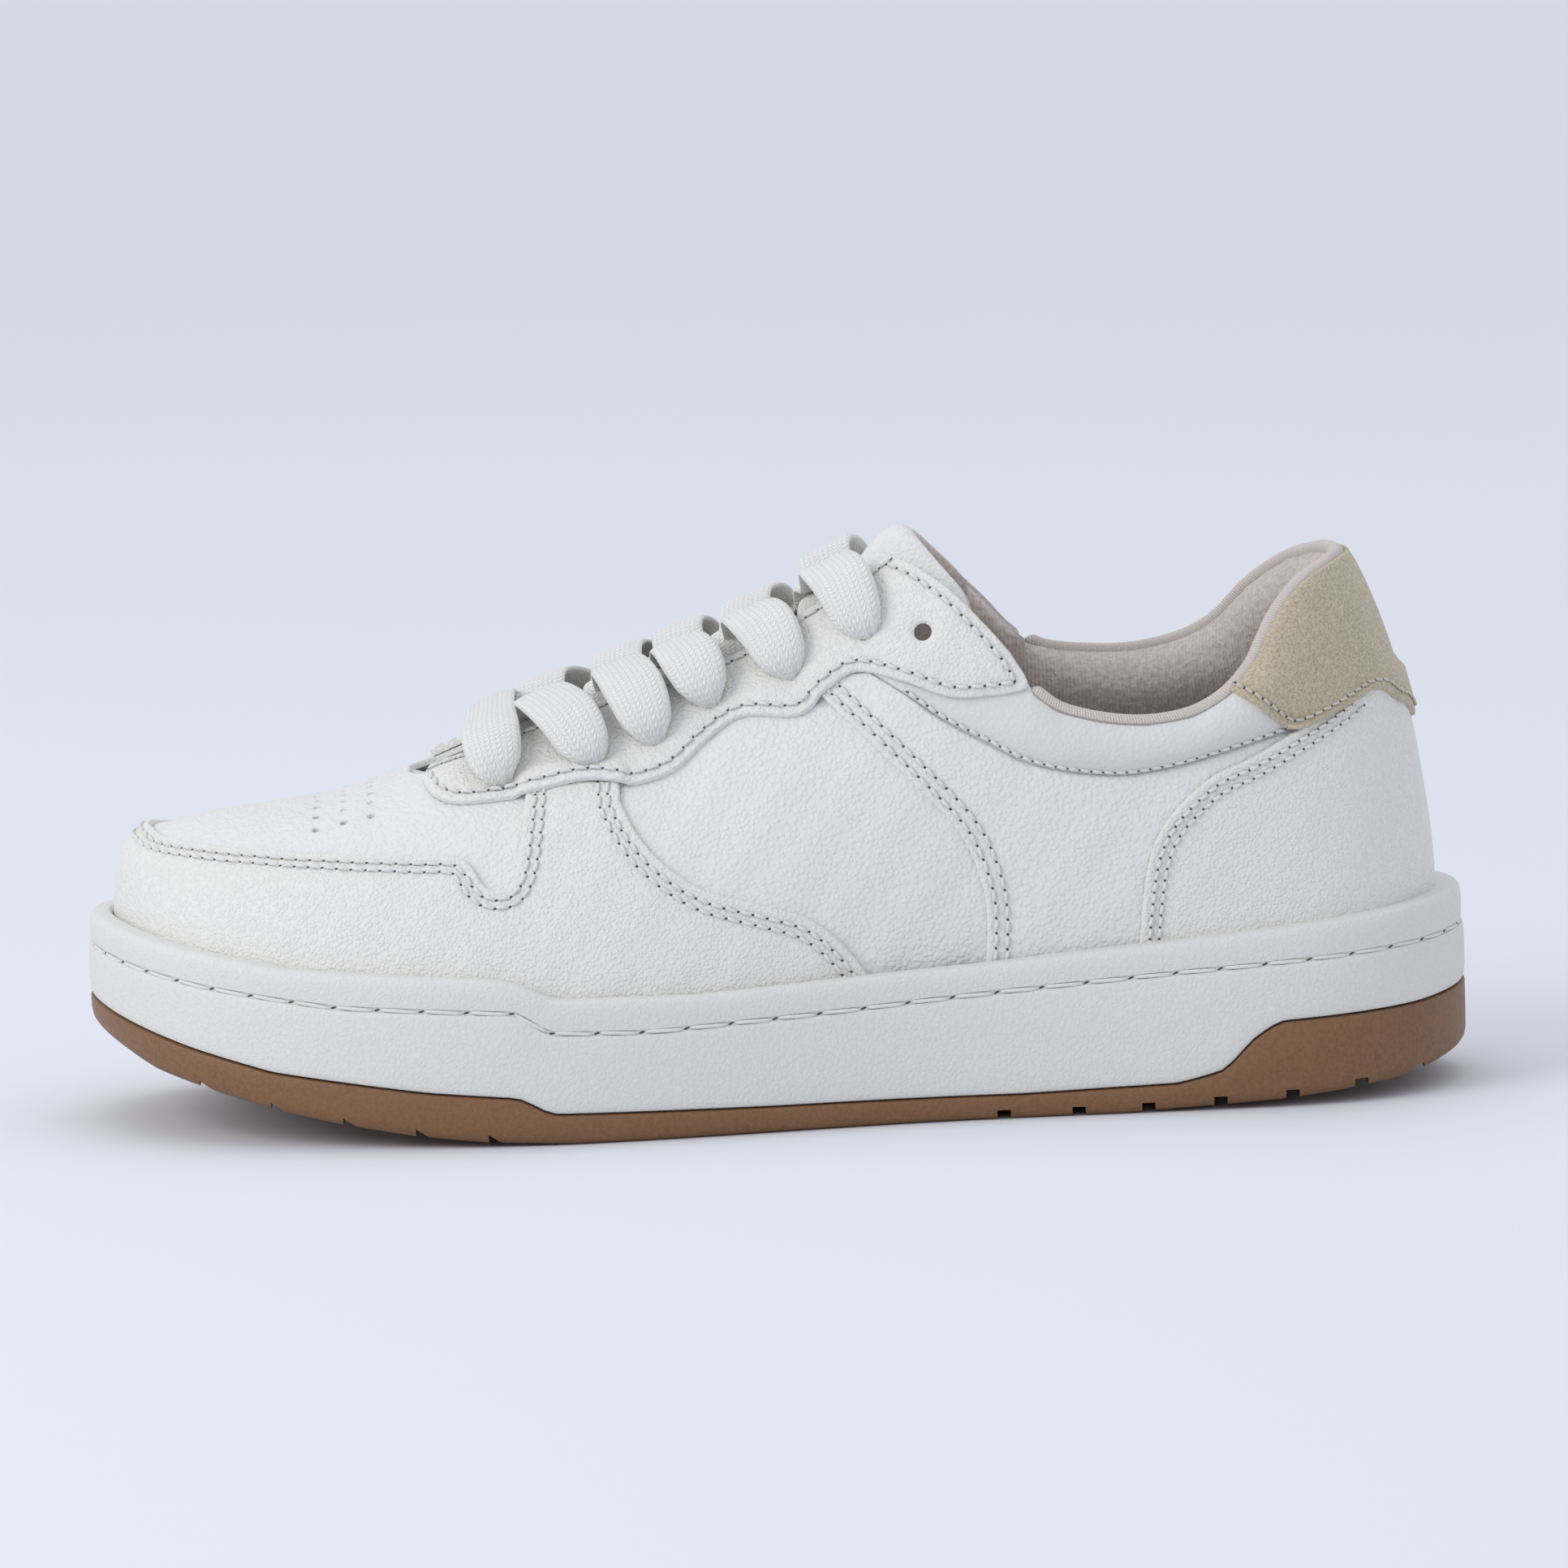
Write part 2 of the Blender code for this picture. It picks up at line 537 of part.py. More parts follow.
def make_quarters(side):
    quarter = shell("quarter_" + side, wall_lines(*side_rings(side, 3, 7), LAYER_A[0]), LAYER_A,
                    "white_leather")
    front = [(x + GAP, z) for x, z in reversed(VAMP_REAR)]
    rear = [(-40 + GAP, HIGH_Z), (20, HIGH_Z), (26, 99), (34, 86), (46, 62), (48, LOW_Z)]
    trim(quarter, [(-30 + GAP, LOW_Z)] + front + rear, side, "quarter_" + side)
    cut_throat(quarter)
    cut_above(quarter, side, 3.0)
    cut_eyelets(quarter, side)

    rear_quarter = shell("rear_quarter_" + side, wall_lines(*side_rings(side, 0, 5.5), LAYER_B[0]),
                         LAYER_B, "white_leather")
    seam = [(x, z - GAP) for x, z in smooth(COLLAR_STITCH, 2)]
    outline = REAR_QUARTER_FRONT[::-1] + seam + [(150, 73), (150, LOW_Z), (40, LOW_Z)]
    trim(rear_quarter, outline, side, "rear_quarter_" + side)

    collar = shell("collar_panel_" + side, wall_lines(*side_rings(side, 0, 5.5), LAYER_B[0]),
                   LAYER_B, "warm_leather")
    outline = smooth(COLLAR_STITCH, 2) + [(150, 73)] + upper_line(side, EDGE_DROP)[:1:-1]
    trim(collar, outline, side, "collar_panel_" + side)

    lining = shell("collar_lining_" + side, wall_lines(*side_rings(side, 0, 6), lining_depth),
                   LAYER_LINING, "knit")
    outline = [(-2 + GAP, 71), (6, 75), (14, 79), (26, 79), (38, 77), (47, 78)]
    edge = [p for p in upper_line(side, EDGE_DROP) if p[0] > 53]
    trim(lining, [(150, LOW_Z), (-2 + GAP, LOW_Z)] + outline + edge, side, "collar_lining_" + side)

    eyestay = shell("eyestay_" + side, wall_lines(*side_rings(side, 3, 8), LAYER_C[0]), LAYER_C,
                    "warm_leather")
    upper = smooth([EYESTAY_CORNER[side]] + EYESTAY_UPPER, 2)
    outline = smooth(EYESTAY_LOWER, 2) + upper + [(8, HIGH_Z), (-80, HIGH_Z)]
    trim(eyestay, outline, side, "eyestay_" + side)
    cut_throat(eyestay)
    cut_eyelets(eyestay, side)


def lining_depth(x, z):
    return LAYER_LINING[0] - pad_depth(x, z)


def make_heel():
    around = (-5.5, 5.5)
    overlay = shell("heel_overlay", wall_lines(*around, LAYER_C[0]), LAYER_C, "warm_leather")
    front = smooth(HEEL_OVERLAY_FRONT, 2)
    trim(overlay, [(150, 79.4)] + front + [(69, LOW_Z), (150, LOW_Z)], "both", "heel_overlay")

    tab = shell("heel_tab", wall_lines(*around, LAYER_D[0]), LAYER_D, "suede")
    outline = smooth(HEEL_TAB_LOWER, 2) + [(150, 69.5), (150, HIGH_Z), (89, HIGH_Z)]
    trim(tab, outline, "both", "heel_tab")

    stiffener = shell("heel_stiffener", wall_lines(*around, LAYER_A[0]), LAYER_A, "board")
    outline = [(54, LOW_Z), (58, 40), (74, 58), (98, 63), (150, 64), (150, LOW_Z)]
    trim(stiffener, outline, "both", "heel_stiffener")

    for side in ("lateral", "medial"):
        cut_above(tab, side, EDGE_DROP)
    make_collar_foam()


def make_collar_foam():
    """Foam between the collar panels and the lining: thin at the seam, thick at the ankle."""
    rows = ROWS[4:]
    inner = wall_lines(-4, 4, lambda x, z: LAYER_LINING[1] + 0.8 - pad_depth(x, z), rows)
    outer = wall_lines(-4, 4, LAYER_STIFF[1], rows)
    foam = slab("collar_foam", inner, outer, "foam")
    seam = [(x, z + 3) for x, z in smooth(COLLAR_STITCH[4:], 1)]
    trim(foam, seam + [(150, 77), (150, HIGH_Z), (52, HIGH_Z)], "both", "collar_foam")
    for side in ("lateral", "medial"):
        cut_above(foam, side, EDGE_DROP + GAP)


def make_binding():
    """Knit roll on the collar edge, from one eyestay round the heel to the other."""
    route = []
    for table, start in ((TOPLINE_LATERAL, 3.5), (TOPLINE_MEDIAL, 18.5)):
        half = []
        place = (start, 0.7)
        for x, z in smooth(table[1:-1], 2):
            place = find_on_side(x, z, place)
            half.append(offset_point(*place, 0.0))
        route.append(half)
    path = route[0] + [(111.2, 0.0, 103.4)] + route[1][::-1]
    tube("collar_binding", path, BINDING_RADIUS, 2, "knit")


def tube(name, path, radius, resolution, finish):
    """A round bar along a path, as a curve with filled caps."""
    data = bpy.data.curves.new(name, "CURVE")
    data.dimensions = "3D"
    data.bevel_depth = radius * MM
    data.bevel_resolution = resolution
    data.use_fill_caps = True
    line = data.splines.new("POLY")
    line.points.add(len(path) - 1)
    for point, place in zip(line.points, path):
        point.co = (place[0] * MM, place[1] * MM, place[2] * MM, 1.0)
    made = bpy.data.objects.new(name, data)
    data.materials.append(material(finish, name))
    SHOE.objects.link(made)
    return made


# ---------------------------------------------------------------- tongue and lace
def tongue_lines(distance):
    """Cross-sections of the tongue, from its base in the throat to its tip."""
    keys = np.array(smooth(TONGUE, 1))
    lines = []
    for i, (x, z, half, drop) in enumerate(keys):
        ahead = keys[min(i + 1, len(keys) - 1)][:2]
        behind = keys[max(i - 1, 0)][:2]
        dx, dz = (ahead - behind) / np.linalg.norm(ahead - behind)
        line = []
        for share in np.linspace(-1.0, 1.0, 7):
            fall = distance - drop * share * share
            line.append((x - dz * fall, share * half, z + dx * fall))
        lines.append(line)
    return lines


def slab(name, lower, upper, finish):
    """Closed body between two matching open grids."""
    points, faces = open_grid(lower)
    count = len(points)
    points = points + open_grid(upper)[0]
    faces += [tuple(i + count for i in reversed(face)) for face in faces]
    rows, width = len(lower), len(lower[0])
    loop = [j for j in range(width)]
    loop += [i * width + width - 1 for i in range(1, rows)]
    loop += [(rows - 1) * width + j for j in range(width - 2, -1, -1)]
    loop += [i * width for i in range(rows - 2, 0, -1)]
    for a, b in zip(loop, loop[1:] + loop[:1]):
        faces.append((b, a, a + count, b + count))
    return add_mesh(name, points, faces, SHOE, finish)


def make_tongue(pivot):
    leather = slab("tongue_leather", tongue_lines(-LEATHER), tongue_lines(0), "white_leather")
    deep = -LEATHER - GAP - TONGUE_FOAM
    foam = slab("tongue_foam", tongue_lines(deep), tongue_lines(-LEATHER - GAP), "foam")
    lining = slab("tongue_lining", tongue_lines(deep - GAP - LINING), tongue_lines(deep - GAP),
                  "knit")
    for piece in (leather, foam, lining):
        hang(piece, pivot)


def hang(piece, pivot):
    """Parent a piece to the empty on its joint axis without moving it."""
    piece.parent = pivot
    piece.matrix_parent_inverse = pivot.matrix_world.inverted()


def edge_row(ring):
    """Row of the last surface just inside the edge of the throat."""
    rows = np.linspace(0.6, 1.0, 81)
    ys = [abs(last_surface(ring, row)[1]) for row in rows]
    return float(np.interp(-CROSSING_HALF, [-y for y in ys], rows))


def lace_stop(ring, row, distance, kind):
    """A place on the lace's route, with the direction along the shoe that its width follows."""
    back = last_surface(ring + 0.15, row) - last_surface(ring - 0.15, row)
    if ring < LAST_STATION:
        back = -back
    return offset_point(ring, row, distance), back / np.linalg.norm(back), kind


def crossing_stops(side, places, index, lift):
    """From under an eyelet, across the tongue, to the top of the next eyelet opposite."""
    other = "medial" if side == "lateral" else "lateral"
    ring, row = places[side][index]
    leave = ring + (places[side][index + 1][0] - ring) * 0.25
    goal, goal_row = places[other][index + 1]
    arrive = goal + (places[other][index][0] - goal) * 0.25
    under = edge_row(leave)
    over = edge_row(arrive)
    start, along_start, _ = lace_stop(leave, under, 0.0, "flat")
    finish, along_finish, _ = lace_stop(arrive, over, 0.0, "flat")
    stops = [lace_stop(leave, row + 0.4 * (under - row), LACE_UNDER - 0.5, "mid"),
             lace_stop(leave, under, LACE_UNDER, "flat")]
    for share in (0.33, 0.67):
        place = start * (1 - share) + finish * share + np.array([-0.5, 0, 0.85]) * lift
        stops.append((place, along_start * (1 - share) + along_finish * share, "flat"))
    stops.append(lace_stop(arrive, over, LACE_OVER, "flat"))
    stops.append(lace_stop(goal + 0.3 * (arrive - goal), goal_row + 0.4 * (edge_row(goal) - goal_row),
                           LACE_OVER + 0.6, "flat"))
    stops.append(lace_stop(goal, goal_row + 0.012, LACE_OVER + 0.3, "mid"))
    return other, stops


def lace_stops(places, side, lift):
    """Half of the lace, from the first eyelet of one side to its tucked end."""
    stops = []
    for index in range(THREADED):
        ring, row = places[side][index]
        stops.append(lace_stop(ring, row, 2.2, "hole"))
        stops.append(lace_stop(ring, row, -2.8, "hole"))
        if index < THREADED - 1:
            side, crossing = crossing_stops(side, places, index, lift)
            stops += crossing
    for share in TAIL_SHARES:
        place = tail_point(ring, row, share)
        stops.append((place, stops[-1][1], "tail"))
    return stops


def tail_point(ring, row, share):
    """Point on a tucked lace end, which runs back and down inside the lining."""
    back = TAIL_RUN[0] * share * (-1 if ring < LAST_STATION else 1)
    x, _, z = last_surface(ring + back, row - TAIL_RUN[1] * share)
    deep = LACE_UNDER - TAIL_DEEPER - pad_depth(x, z)
    return offset_point(ring + back, row - TAIL_RUN[1] * share, deep)


def lace_bar(places):
    """The straight bar over the lowest pair of eyelets."""
    halves = []
    for side in ("lateral", "medial"):
        ring, row = places[side][0]
        edge = edge_row(ring)
        halves.append([lace_stop(ring, row + 0.012, LACE_OVER + 0.3, "mid"),
                       lace_stop(ring, row + 0.4 * (edge - row), LACE_OVER + 0.6, "flat"),
                       lace_stop(ring, edge, LACE_OVER, "flat")])
    centre = 0.5 * (halves[0][-1][0] + halves[1][-1][0]) + np.array([0.0, 0.0, 0.8])
    return halves[0] + [(centre, halves[0][-1][1], "flat")] + halves[1][::-1]


def make_lace():
    places = {side: eyelet_places(side) for side in ("lateral", "medial")}
    first = lace_stops(places, "medial", LACE_HIGH)
    second = lace_stops(places, "lateral", LACE_LOW)
    stops = second[::-1] + lace_bar(places) + first
    keys = [(*place, *along_shoe, *LACE_SHAPES[kind]) for place, along_shoe, kind in stops]
    path = np.array(smooth(keys, 2))
    sections = []
    for i, key in enumerate(path):
        tangent = path[min(i + 1, len(path) - 1)][:3] - path[max(i - 1, 0)][:3]
        tangent /= np.linalg.norm(tangent)
        side = key[3:6] - tangent * np.dot(key[3:6], tangent)
        side /= np.linalg.norm(side)
        up = np.cross(tangent, side)
        section = []
        for k in range(6):
            turn = 2 * math.pi * k / 6
            across = math.copysign(abs(math.cos(turn)) ** 0.7, math.cos(turn)) * key[6]
            section.append(key[:3] + side * across + up * math.sin(turn) * key[7])
        sections.append(section)
    loft("lace", sections, True, "cotton")
    for side, name in (("lateral", "aglet_lateral"), ("medial", "aglet_medial")):
        ring, row = places[side][THREADED - 1]
        ends = [tail_point(ring, row, share) for share in AGLET_SHARES]
        tube(name, [ends[0], 0.5 * (ends[0] + ends[1]), ends[1]], AGLET_RADIUS, 2, "clear_tip")


# ---------------------------------------------------------------- sole
def loft(name, sections, capped, finish):
    """Skin through closed sections with the same number of points."""
    count = len(sections[0])
    points = [p for section in sections for p in section]
    faces = []
    for i in range(len(sections) - 1):
        for j in range(count):
            a = i * count + j
            b = i * count + (j + 1) % count
            faces.append((a, b, b + count, a + count))
    if capped:
        faces.append(tuple(range(count))[::-1])
        faces.append(tuple(range((len(sections) - 1) * count, len(sections) * count)))
    return add_mesh(name, points, faces, SHOE, finish)


def sole_loft(name, profile, finish):
    """Loft along the shoe: profile(ring) lists (inset, height) from the bottom edge to the top."""
    sections = []
    for station in np.arange(0, LAST_STATION + 0.01, STATION_STEP):
        halves = []
        for ring in (station, 2 * LAST_STATION - station):
            halves.append([(*inset(ring, d), z) for d, z in profile(ring)])
        sections.append(halves[0] + halves[1][::-1])
    return loft(name, sections, False, finish)


def gum_floor(x):
    return along(TREAD, x) + 3.6


def outsole_profile(ring):
    x = inset(ring, 0)[0]
    low = inset(ring, 3.0)[0]
    rise = along(TREAD, x)
    top = along(GUM_TOP, x)
    return [(3.0, along(TREAD, low)), (0.7, rise + 1.2), (0.0, min(rise + 2.8, top - 0.6)), (0.0, top),
            (2.2, top), (2.2, min(gum_floor(low), top - 0.8))]


def cupsole_profile(ring):
    x = inset(ring, 0)[0]
    low = inset(ring, 3.0)[0]
    top = along(GUM_TOP, x) + GAP
    floor = min(gum_floor(low), top - GAP - 0.8) + GAP
    groove = along(SIDE_GROOVE, x)
    rim = along(RIM, x)
    return [(2.5, floor), (2.5, top), (0.4, top), (0.0, top + 1.5), (0.1, groove - 1.2), (0.9, groove),
            (0.1, groove + 1.2), (0.2, rim - 1.8), (1.1, rim), (RIM_WALL - 0.3, rim),
            (RIM_WALL, rim - 1.0), (RIM_WALL + 0.4, floor + 2.0)]


def foam_profile(ring):
    x = inset(ring, FOAM_INSET)[0]
    low = inset(ring, 3.0)[0]
    floor = min(gum_floor(low), along(GUM_TOP, inset(ring, 0)[0]) - 0.8) + 2 * GAP + 2.0
    return [(FOAM_INSET, floor), (FOAM_INSET, bed_height(x))]


def flat_profile(distance, low, high):
    def profile(ring):
        z = bed_height(inset(ring, distance)[0])
        return [(distance, z + low), (distance, z + high)]
    return profile


def make_sole():
    outsole = sole_loft("outsole", outsole_profile, "gum")
    cut_tread(outsole)
    sole_loft("cupsole", cupsole_profile, "white_rubber")
    sole_loft("midsole_foam", foam_profile, "foam")
    sole_loft("insole_board", flat_profile(BOARD_INSET, GAP, GAP + BOARD), "board")
    bottom = BOARD + 2 * GAP
    liner = sole_loft("sockliner", flat_profile(BOARD_INSET + 0.4, bottom, bottom + SOCKLINER), "knit")
    x, z = SOCKLINER_HINGE_XZ
    hang(liner, axis_empty("sockliner_axis", x, z))


def cut_tread(outsole):
    """Cross grooves: saw-tooth under the forefoot, square under the heel."""
    for index, x in enumerate(TOE_GROOVES):
        z = along(TREAD, x)
        outline = [(x - 1.3, z - 3), (x - 1.3, z + GROOVE_DEPTH), (x + 1.6, z - 0.2), (x + 1.6, z - 3)]
        cut(outsole, plate(f"toe_groove_{index}", outline, -70, 70, "XZ"), "DIFFERENCE")
    for index, x in enumerate(HEEL_GROOVES):
        z = along(TREAD, x)
        outline = [(x - 1.3, z - 3), (x - 1.3, z + GROOVE_DEPTH), (x + 1.3, z + GROOVE_DEPTH),
                   (x + 1.3, z - 3)]
        cut(outsole, plate(f"heel_groove_{index}", outline, -70, 70, "XZ"), "DIFFERENCE")


def axis_empty(name, x, z):
    made = bpy.data.objects.new(name, None)
    made.location = (x * MM, 0.0, z * MM)
    SHOE.objects.link(made)
    bpy.context.view_layer.update()
    return made


clear_scene()
SHOE = new_collection("court_shoe")
CUTTERS = new_collection("cutters")
EYELET_CUTTERS = {side: eyelet_cutters(side) for side in ("lateral", "medial")}
make_sole()
make_forefoot()
make_heel()
for shoe_side in ("lateral", "medial"):
    make_quarters(shoe_side)
make_binding()
make_tongue(axis_empty("tongue_axis", *TONGUE_HINGE_XZ))
make_lace()
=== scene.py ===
"""Looks of a low court shoe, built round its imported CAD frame.

Every length is in millimetres on the way in and in metres on the mesh. The upper is drawn on
the last: a surface over (ring, row), where ring runs once round the shoe (0 at the back of the
heel, 11 at the tip of the toe, 22 at the heel again, lateral side first) and row runs from the
sole (0) to the top line (1).
"""
import math

import bmesh
import bpy
import numpy as np
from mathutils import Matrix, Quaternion, Vector, kdtree
from mathutils.geometry import delaunay_2d_cdt


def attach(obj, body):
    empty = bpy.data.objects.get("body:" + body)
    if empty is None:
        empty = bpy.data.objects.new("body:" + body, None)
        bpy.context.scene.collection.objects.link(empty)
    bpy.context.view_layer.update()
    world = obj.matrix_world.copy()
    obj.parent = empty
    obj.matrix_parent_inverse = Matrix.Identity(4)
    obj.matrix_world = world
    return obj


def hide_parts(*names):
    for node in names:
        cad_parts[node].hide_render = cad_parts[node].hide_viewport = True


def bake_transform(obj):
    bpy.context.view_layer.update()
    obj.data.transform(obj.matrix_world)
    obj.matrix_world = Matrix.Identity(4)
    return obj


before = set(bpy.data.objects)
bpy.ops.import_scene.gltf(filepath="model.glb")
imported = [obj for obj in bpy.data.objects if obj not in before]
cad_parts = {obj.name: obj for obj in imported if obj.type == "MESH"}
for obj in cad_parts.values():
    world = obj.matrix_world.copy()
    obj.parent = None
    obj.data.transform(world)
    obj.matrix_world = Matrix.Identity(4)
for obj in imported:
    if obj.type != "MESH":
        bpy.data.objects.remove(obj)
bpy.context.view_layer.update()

MM = 0.001
SIDES = ("lateral", "medial")

# ---------------------------------------------------------------- dimensions
GAP = 0.3
LEATHER = 1.25             # visible thickness of a cut leather edge
LAYER = 1.35               # rise from one leather layer to the next
FOAM_INSET = 4.4
FEATHER_RISE = 1.2
RIM_WALL = 3.6
BOARD = 1.5
SOCKLINER = 4.5
BOARD_INSET = 11.8
LINING_FACE = -2.6         # outer face of the lining, from the last surface
LINING = 1.0
COLLAR_PAD = 5.5
COLLAR_ROLL = 8.0          # the lining rolls over to the binding in this distance
COLLAR_BULGE = 2.4
BINDING_RADIUS = 1.55
EDGE_STEP = 0.8            # spacing of mesh points along a cut edge
EDGE_ROWS = (0.12, 0.32, 0.62, 1.05, 1.6, 2.3, 3.2)
EDGE_ROUNDING = 0.5
EDGE_KEEP = 0.93           # a row of points ends where it comes closer to the edge than this share
SEAM_KEEP = 0.88
HOLE_CLEAR = 1.7           # no grid points within this many radii of a hole
HOLE_RING = 1.35           # radii of the ring of points round a hole
SHARP_LEATHER = 50         # degrees
SHARP_SOLE = 35
GRID = 1.5                 # spacing of mesh points inside a panel
BOTTOM_ROW = 0.06          # panels end here, hidden behind the rim of the sole
PITCH = 2.9                # stitch length on the panels
FINE_PITCH = 2.3
TAB_PITCH = 2.1
SOLE_PITCH = 8.7
GROOVE_DEPTH = 0.2
GROOVE_WIDTH = 0.7
THROAT_HALF_WIDTHS = (11.0, 14.0)
EYELET_RADIUS = 1.75
THREADED = 6
CROSSING_HALF = 8.5
LACE_UNDER = -3.2
LACE_OVER = 4.9
TAIL_DEEPER = 2.6
TAIL_RUN = (1.0, 0.27)
TIP_SHARES = (0.72, 0.82, 0.92)
TIP_RADIUS = 1.3
TAIL_SHARES = (0.2, 0.45, 0.7)
LACE_SIDES = 54
LACE_SHAPES = {"hole": (1.7, 1.6), "mid": (3.4, 1.6), "tail": (1.5, 1.3), "flat": (5.3, 1.05),
               "full": (5.9, 1.9), "round": (5.0, 2.4), "neck": (2.3, 1.9)}

# Sole outline in plan, stations 0 (back of the heel) to 11 (tip of the toe) on each side.
LAST_STATION = 11
WHOLE_RING = 2 * LAST_STATION
OUTLINE_LATERAL = [(135, 0), (128, -22), (108, -35.5), (75, -38.5), (35, -40.5), (0, -46),
                   (-40, -52), (-75, -50), (-103, -41), (-122, -27), (-132, -10), (-135, 6)]
OUTLINE_MEDIAL = [(135, 0), (128, 21), (108, 33.5), (75, 34), (35, 34), (0, 40),
                  (-40, 49.8), (-72, 51.9), (-100, 45.5), (-120, 34), (-131, 21), (-135, 6)]
FEATHER_INSET = [8, 8, 8, 8, 7.4, 6.6, 6.4, 6.4, 6.4, 6.6, 6.8, 6.8]
LOW_INSET = [7.4, 7.4, 7.6, 7.6, 6.4, 4, 3, 3.5, 4.5, 5.5, 6, 5.5]
LOW_HEIGHT = [52, 52, 50, 48, 50, 48, 42, 42, 44, 46, 47, 46]
HIGH_LATERAL = [(122.5, 0, 85), (119, -15, 85), (102, -27, 83), (74, -33.5, 80), (36, -32, 92),
                (-2, -26, 90), (-42, -26, 75), (-76, -30, 65.5), (-105, -25, 59.5),
                (-120, -15, 57.5), (-127, -5, 56.5), (-128.5, 4, 56.5)]
HIGH_MEDIAL = [(122.5, 0, 85), (119, 14.5, 86), (102, 26, 84), (74, 32, 82), (36, 31, 92),
               (-2, 27, 90), (-42, 27, 75), (-76, 31, 66), (-104, 27, 59.5),
               (-119, 19, 57.5), (-126, 12, 56.5), (-128.5, 4, 56.5)]
TOP = [(110, 0, 106.5), (107, -12, 106), (98, -21, 102), (73, -25, 101), (38, -17, 110),
       (0, -1, 96), (-42, 0, 81), (-74, 0, 66), (-97, 0, 61.5), (-110, 0, 59.8),
       (-116, 0, 58.8), (-118, 0, 58.4)]

# Heights along the shoe, as (x, z).
RIM = [(-135, 41), (-120, 38.4), (-95, 34.6), (-54, 32.3), (-49, 31), (-43, 28.1), (-14, 27.6),
       (40, 30.3), (99, 35.1), (135, 38)]
SIDE_GROOVE = [(-135, 35), (-111, 30.8), (-85, 27.6), (-50, 26), (-44, 21.8), (-24, 21.2), (12, 22.9),
               (78, 27.3), (135, 30.6)]
GUM_TOP = [(-135, 24.4), (-114, 18.4), (-98, 14.5), (-68, 10.7), (-50, 9.2), (-44, 5.9), (0, 5),
           (47, 4.6), (77, 5.4), (86, 7.6), (92, 13.8), (97, 16.7), (125, 17.9), (135, 18.9)]
TREAD = [(-135, 19), (-121, 13.2), (-99, 7.4), (-85, 4.6), (-71, 2.4), (-57, 0.9), (-40, 0), (66, 0),
         (98, 1.5), (123, 3.8), (135, 6.5)]
BED_DEPTH = [(-135, 11), (-40, 12.5), (30, 15), (80, 19), (135, 19)]

# Side-view outlines of the upper panels, as (x, z).
LOW_Z = -20.0
TOPLINE = {
    "lateral": [(51, 82.5), (56, 78.6), (64, 76.2), (73, 75.3), (82, 76.6), (89, 80.4), (94, 86),
                (98, 93.5), (104, 100.2), (112, 103.4)],
    "medial": [(51.5, 84.8), (56, 83), (64, 82), (73, 82), (83, 84.3), (90, 88.5), (95.5, 94.5),
               (104, 100.6), (112, 103.4)],
}
EYESTAY_LOWER = [(-67.5, 66), (-65, 63.8), (-60, 62.8), (-49, 63.9), (-35, 66.2), (-26, 66),
                 (-18, 68.6), (-12, 73.6), (-5, 77.8), (6, 78), (12, 82.3), (18, 85.7), (27, 83.9),
                 (36, 81), (46, 81.4)]
EYESTAY_CORNER = {"lateral": (50.5, 83), "medial": (50.5, 85.4)}
EYESTAY_UPPER = [(47.5, 89), (43, 94.2), (36.5, 100.6), (30, 104.6), (23, 106), (17, 104.4)]
COLLAR_STITCH = [(20, 86), (27, 81.6), (34, 76.7), (42, 72.4), (49, 68.6), (57, 66.4), (68, 65.2),
                 (79, 66.6), (91, 69.6), (104, 73)]
REAR_QUARTER_FRONT = [(8, 84), (16, 76.4), (26, 66.6), (36, 55.5), (40, 46), (41, 38), (40, 24)]
HEEL_OVERLAY_FRONT = [(103, 73), (93, 67.7), (85, 64.3), (77, 57.2), (73, 50), (71, 39.4), (69, 20)]
HEEL_TAB_LOWER = [(89, 80.6), (94, 76.9), (99, 72.9), (103, 72.6), (110, 75.4), (116, 78),
                  (120, 74.6), (126, 70.4)]
TOE_OVERLAY_TOP = [(-122, 57.6), (-117, 55.8), (-99, 54.6), (-71, 53.9), (-62, 53.8),
                   (-58.5, 52.4), (-55.5, 48.4), (-52.5, 47.6), (-50.4, 49), (-48.8, 54),
                   (-47, 66)]
TOE_OVERLAY_REAR = [(-29, 68), (-29, 63), (-26, 57.3), (-21, 51.6), (-13, 46.4), (-2, 43.1),
                    (7, 40), (14, 33.7), (19, 26), (21, 20)]
EYELETS = [(-52, 66.3), (-34, 69.6), (-22, 73.9), (-11, 80.4), (5, 85.6), (20, 92.6), (31, 93)]
PERFORATION_X = (-88.5, -83.0, -77.7)
PERFORATION_Y = (-20.0, -15.0, -10.0, -5.0, 0.0, 5.0, 10.0, 15.0, 20.0)
PERFORATION_RADIUS = 0.65
# The tongue's middle line and its edge, as (x, z, half width, drop at the edge).
TONGUE = [(-62, 66, 17, 4.5), (-48, 72, 19.5, 7.2), (-34, 76.6, 20, 10), (-17, 82, 20, 12.5),
          (0, 87, 19.5, 15.5), (9, 93.5, 19, 18.5), (15.5, 101, 19, 21), (21, 108, 19, 22),
          (27, 113.4, 18.5, 22.5)]
TONGUE_THICK = 7.4
TOE_GROOVES = [-111.0, -97.0, -83.0, -69.0, -55.0]
HEEL_GROOVES = [43.0, 57.5, 71.0, 85.0, 99.0, 112.5, 124.0]

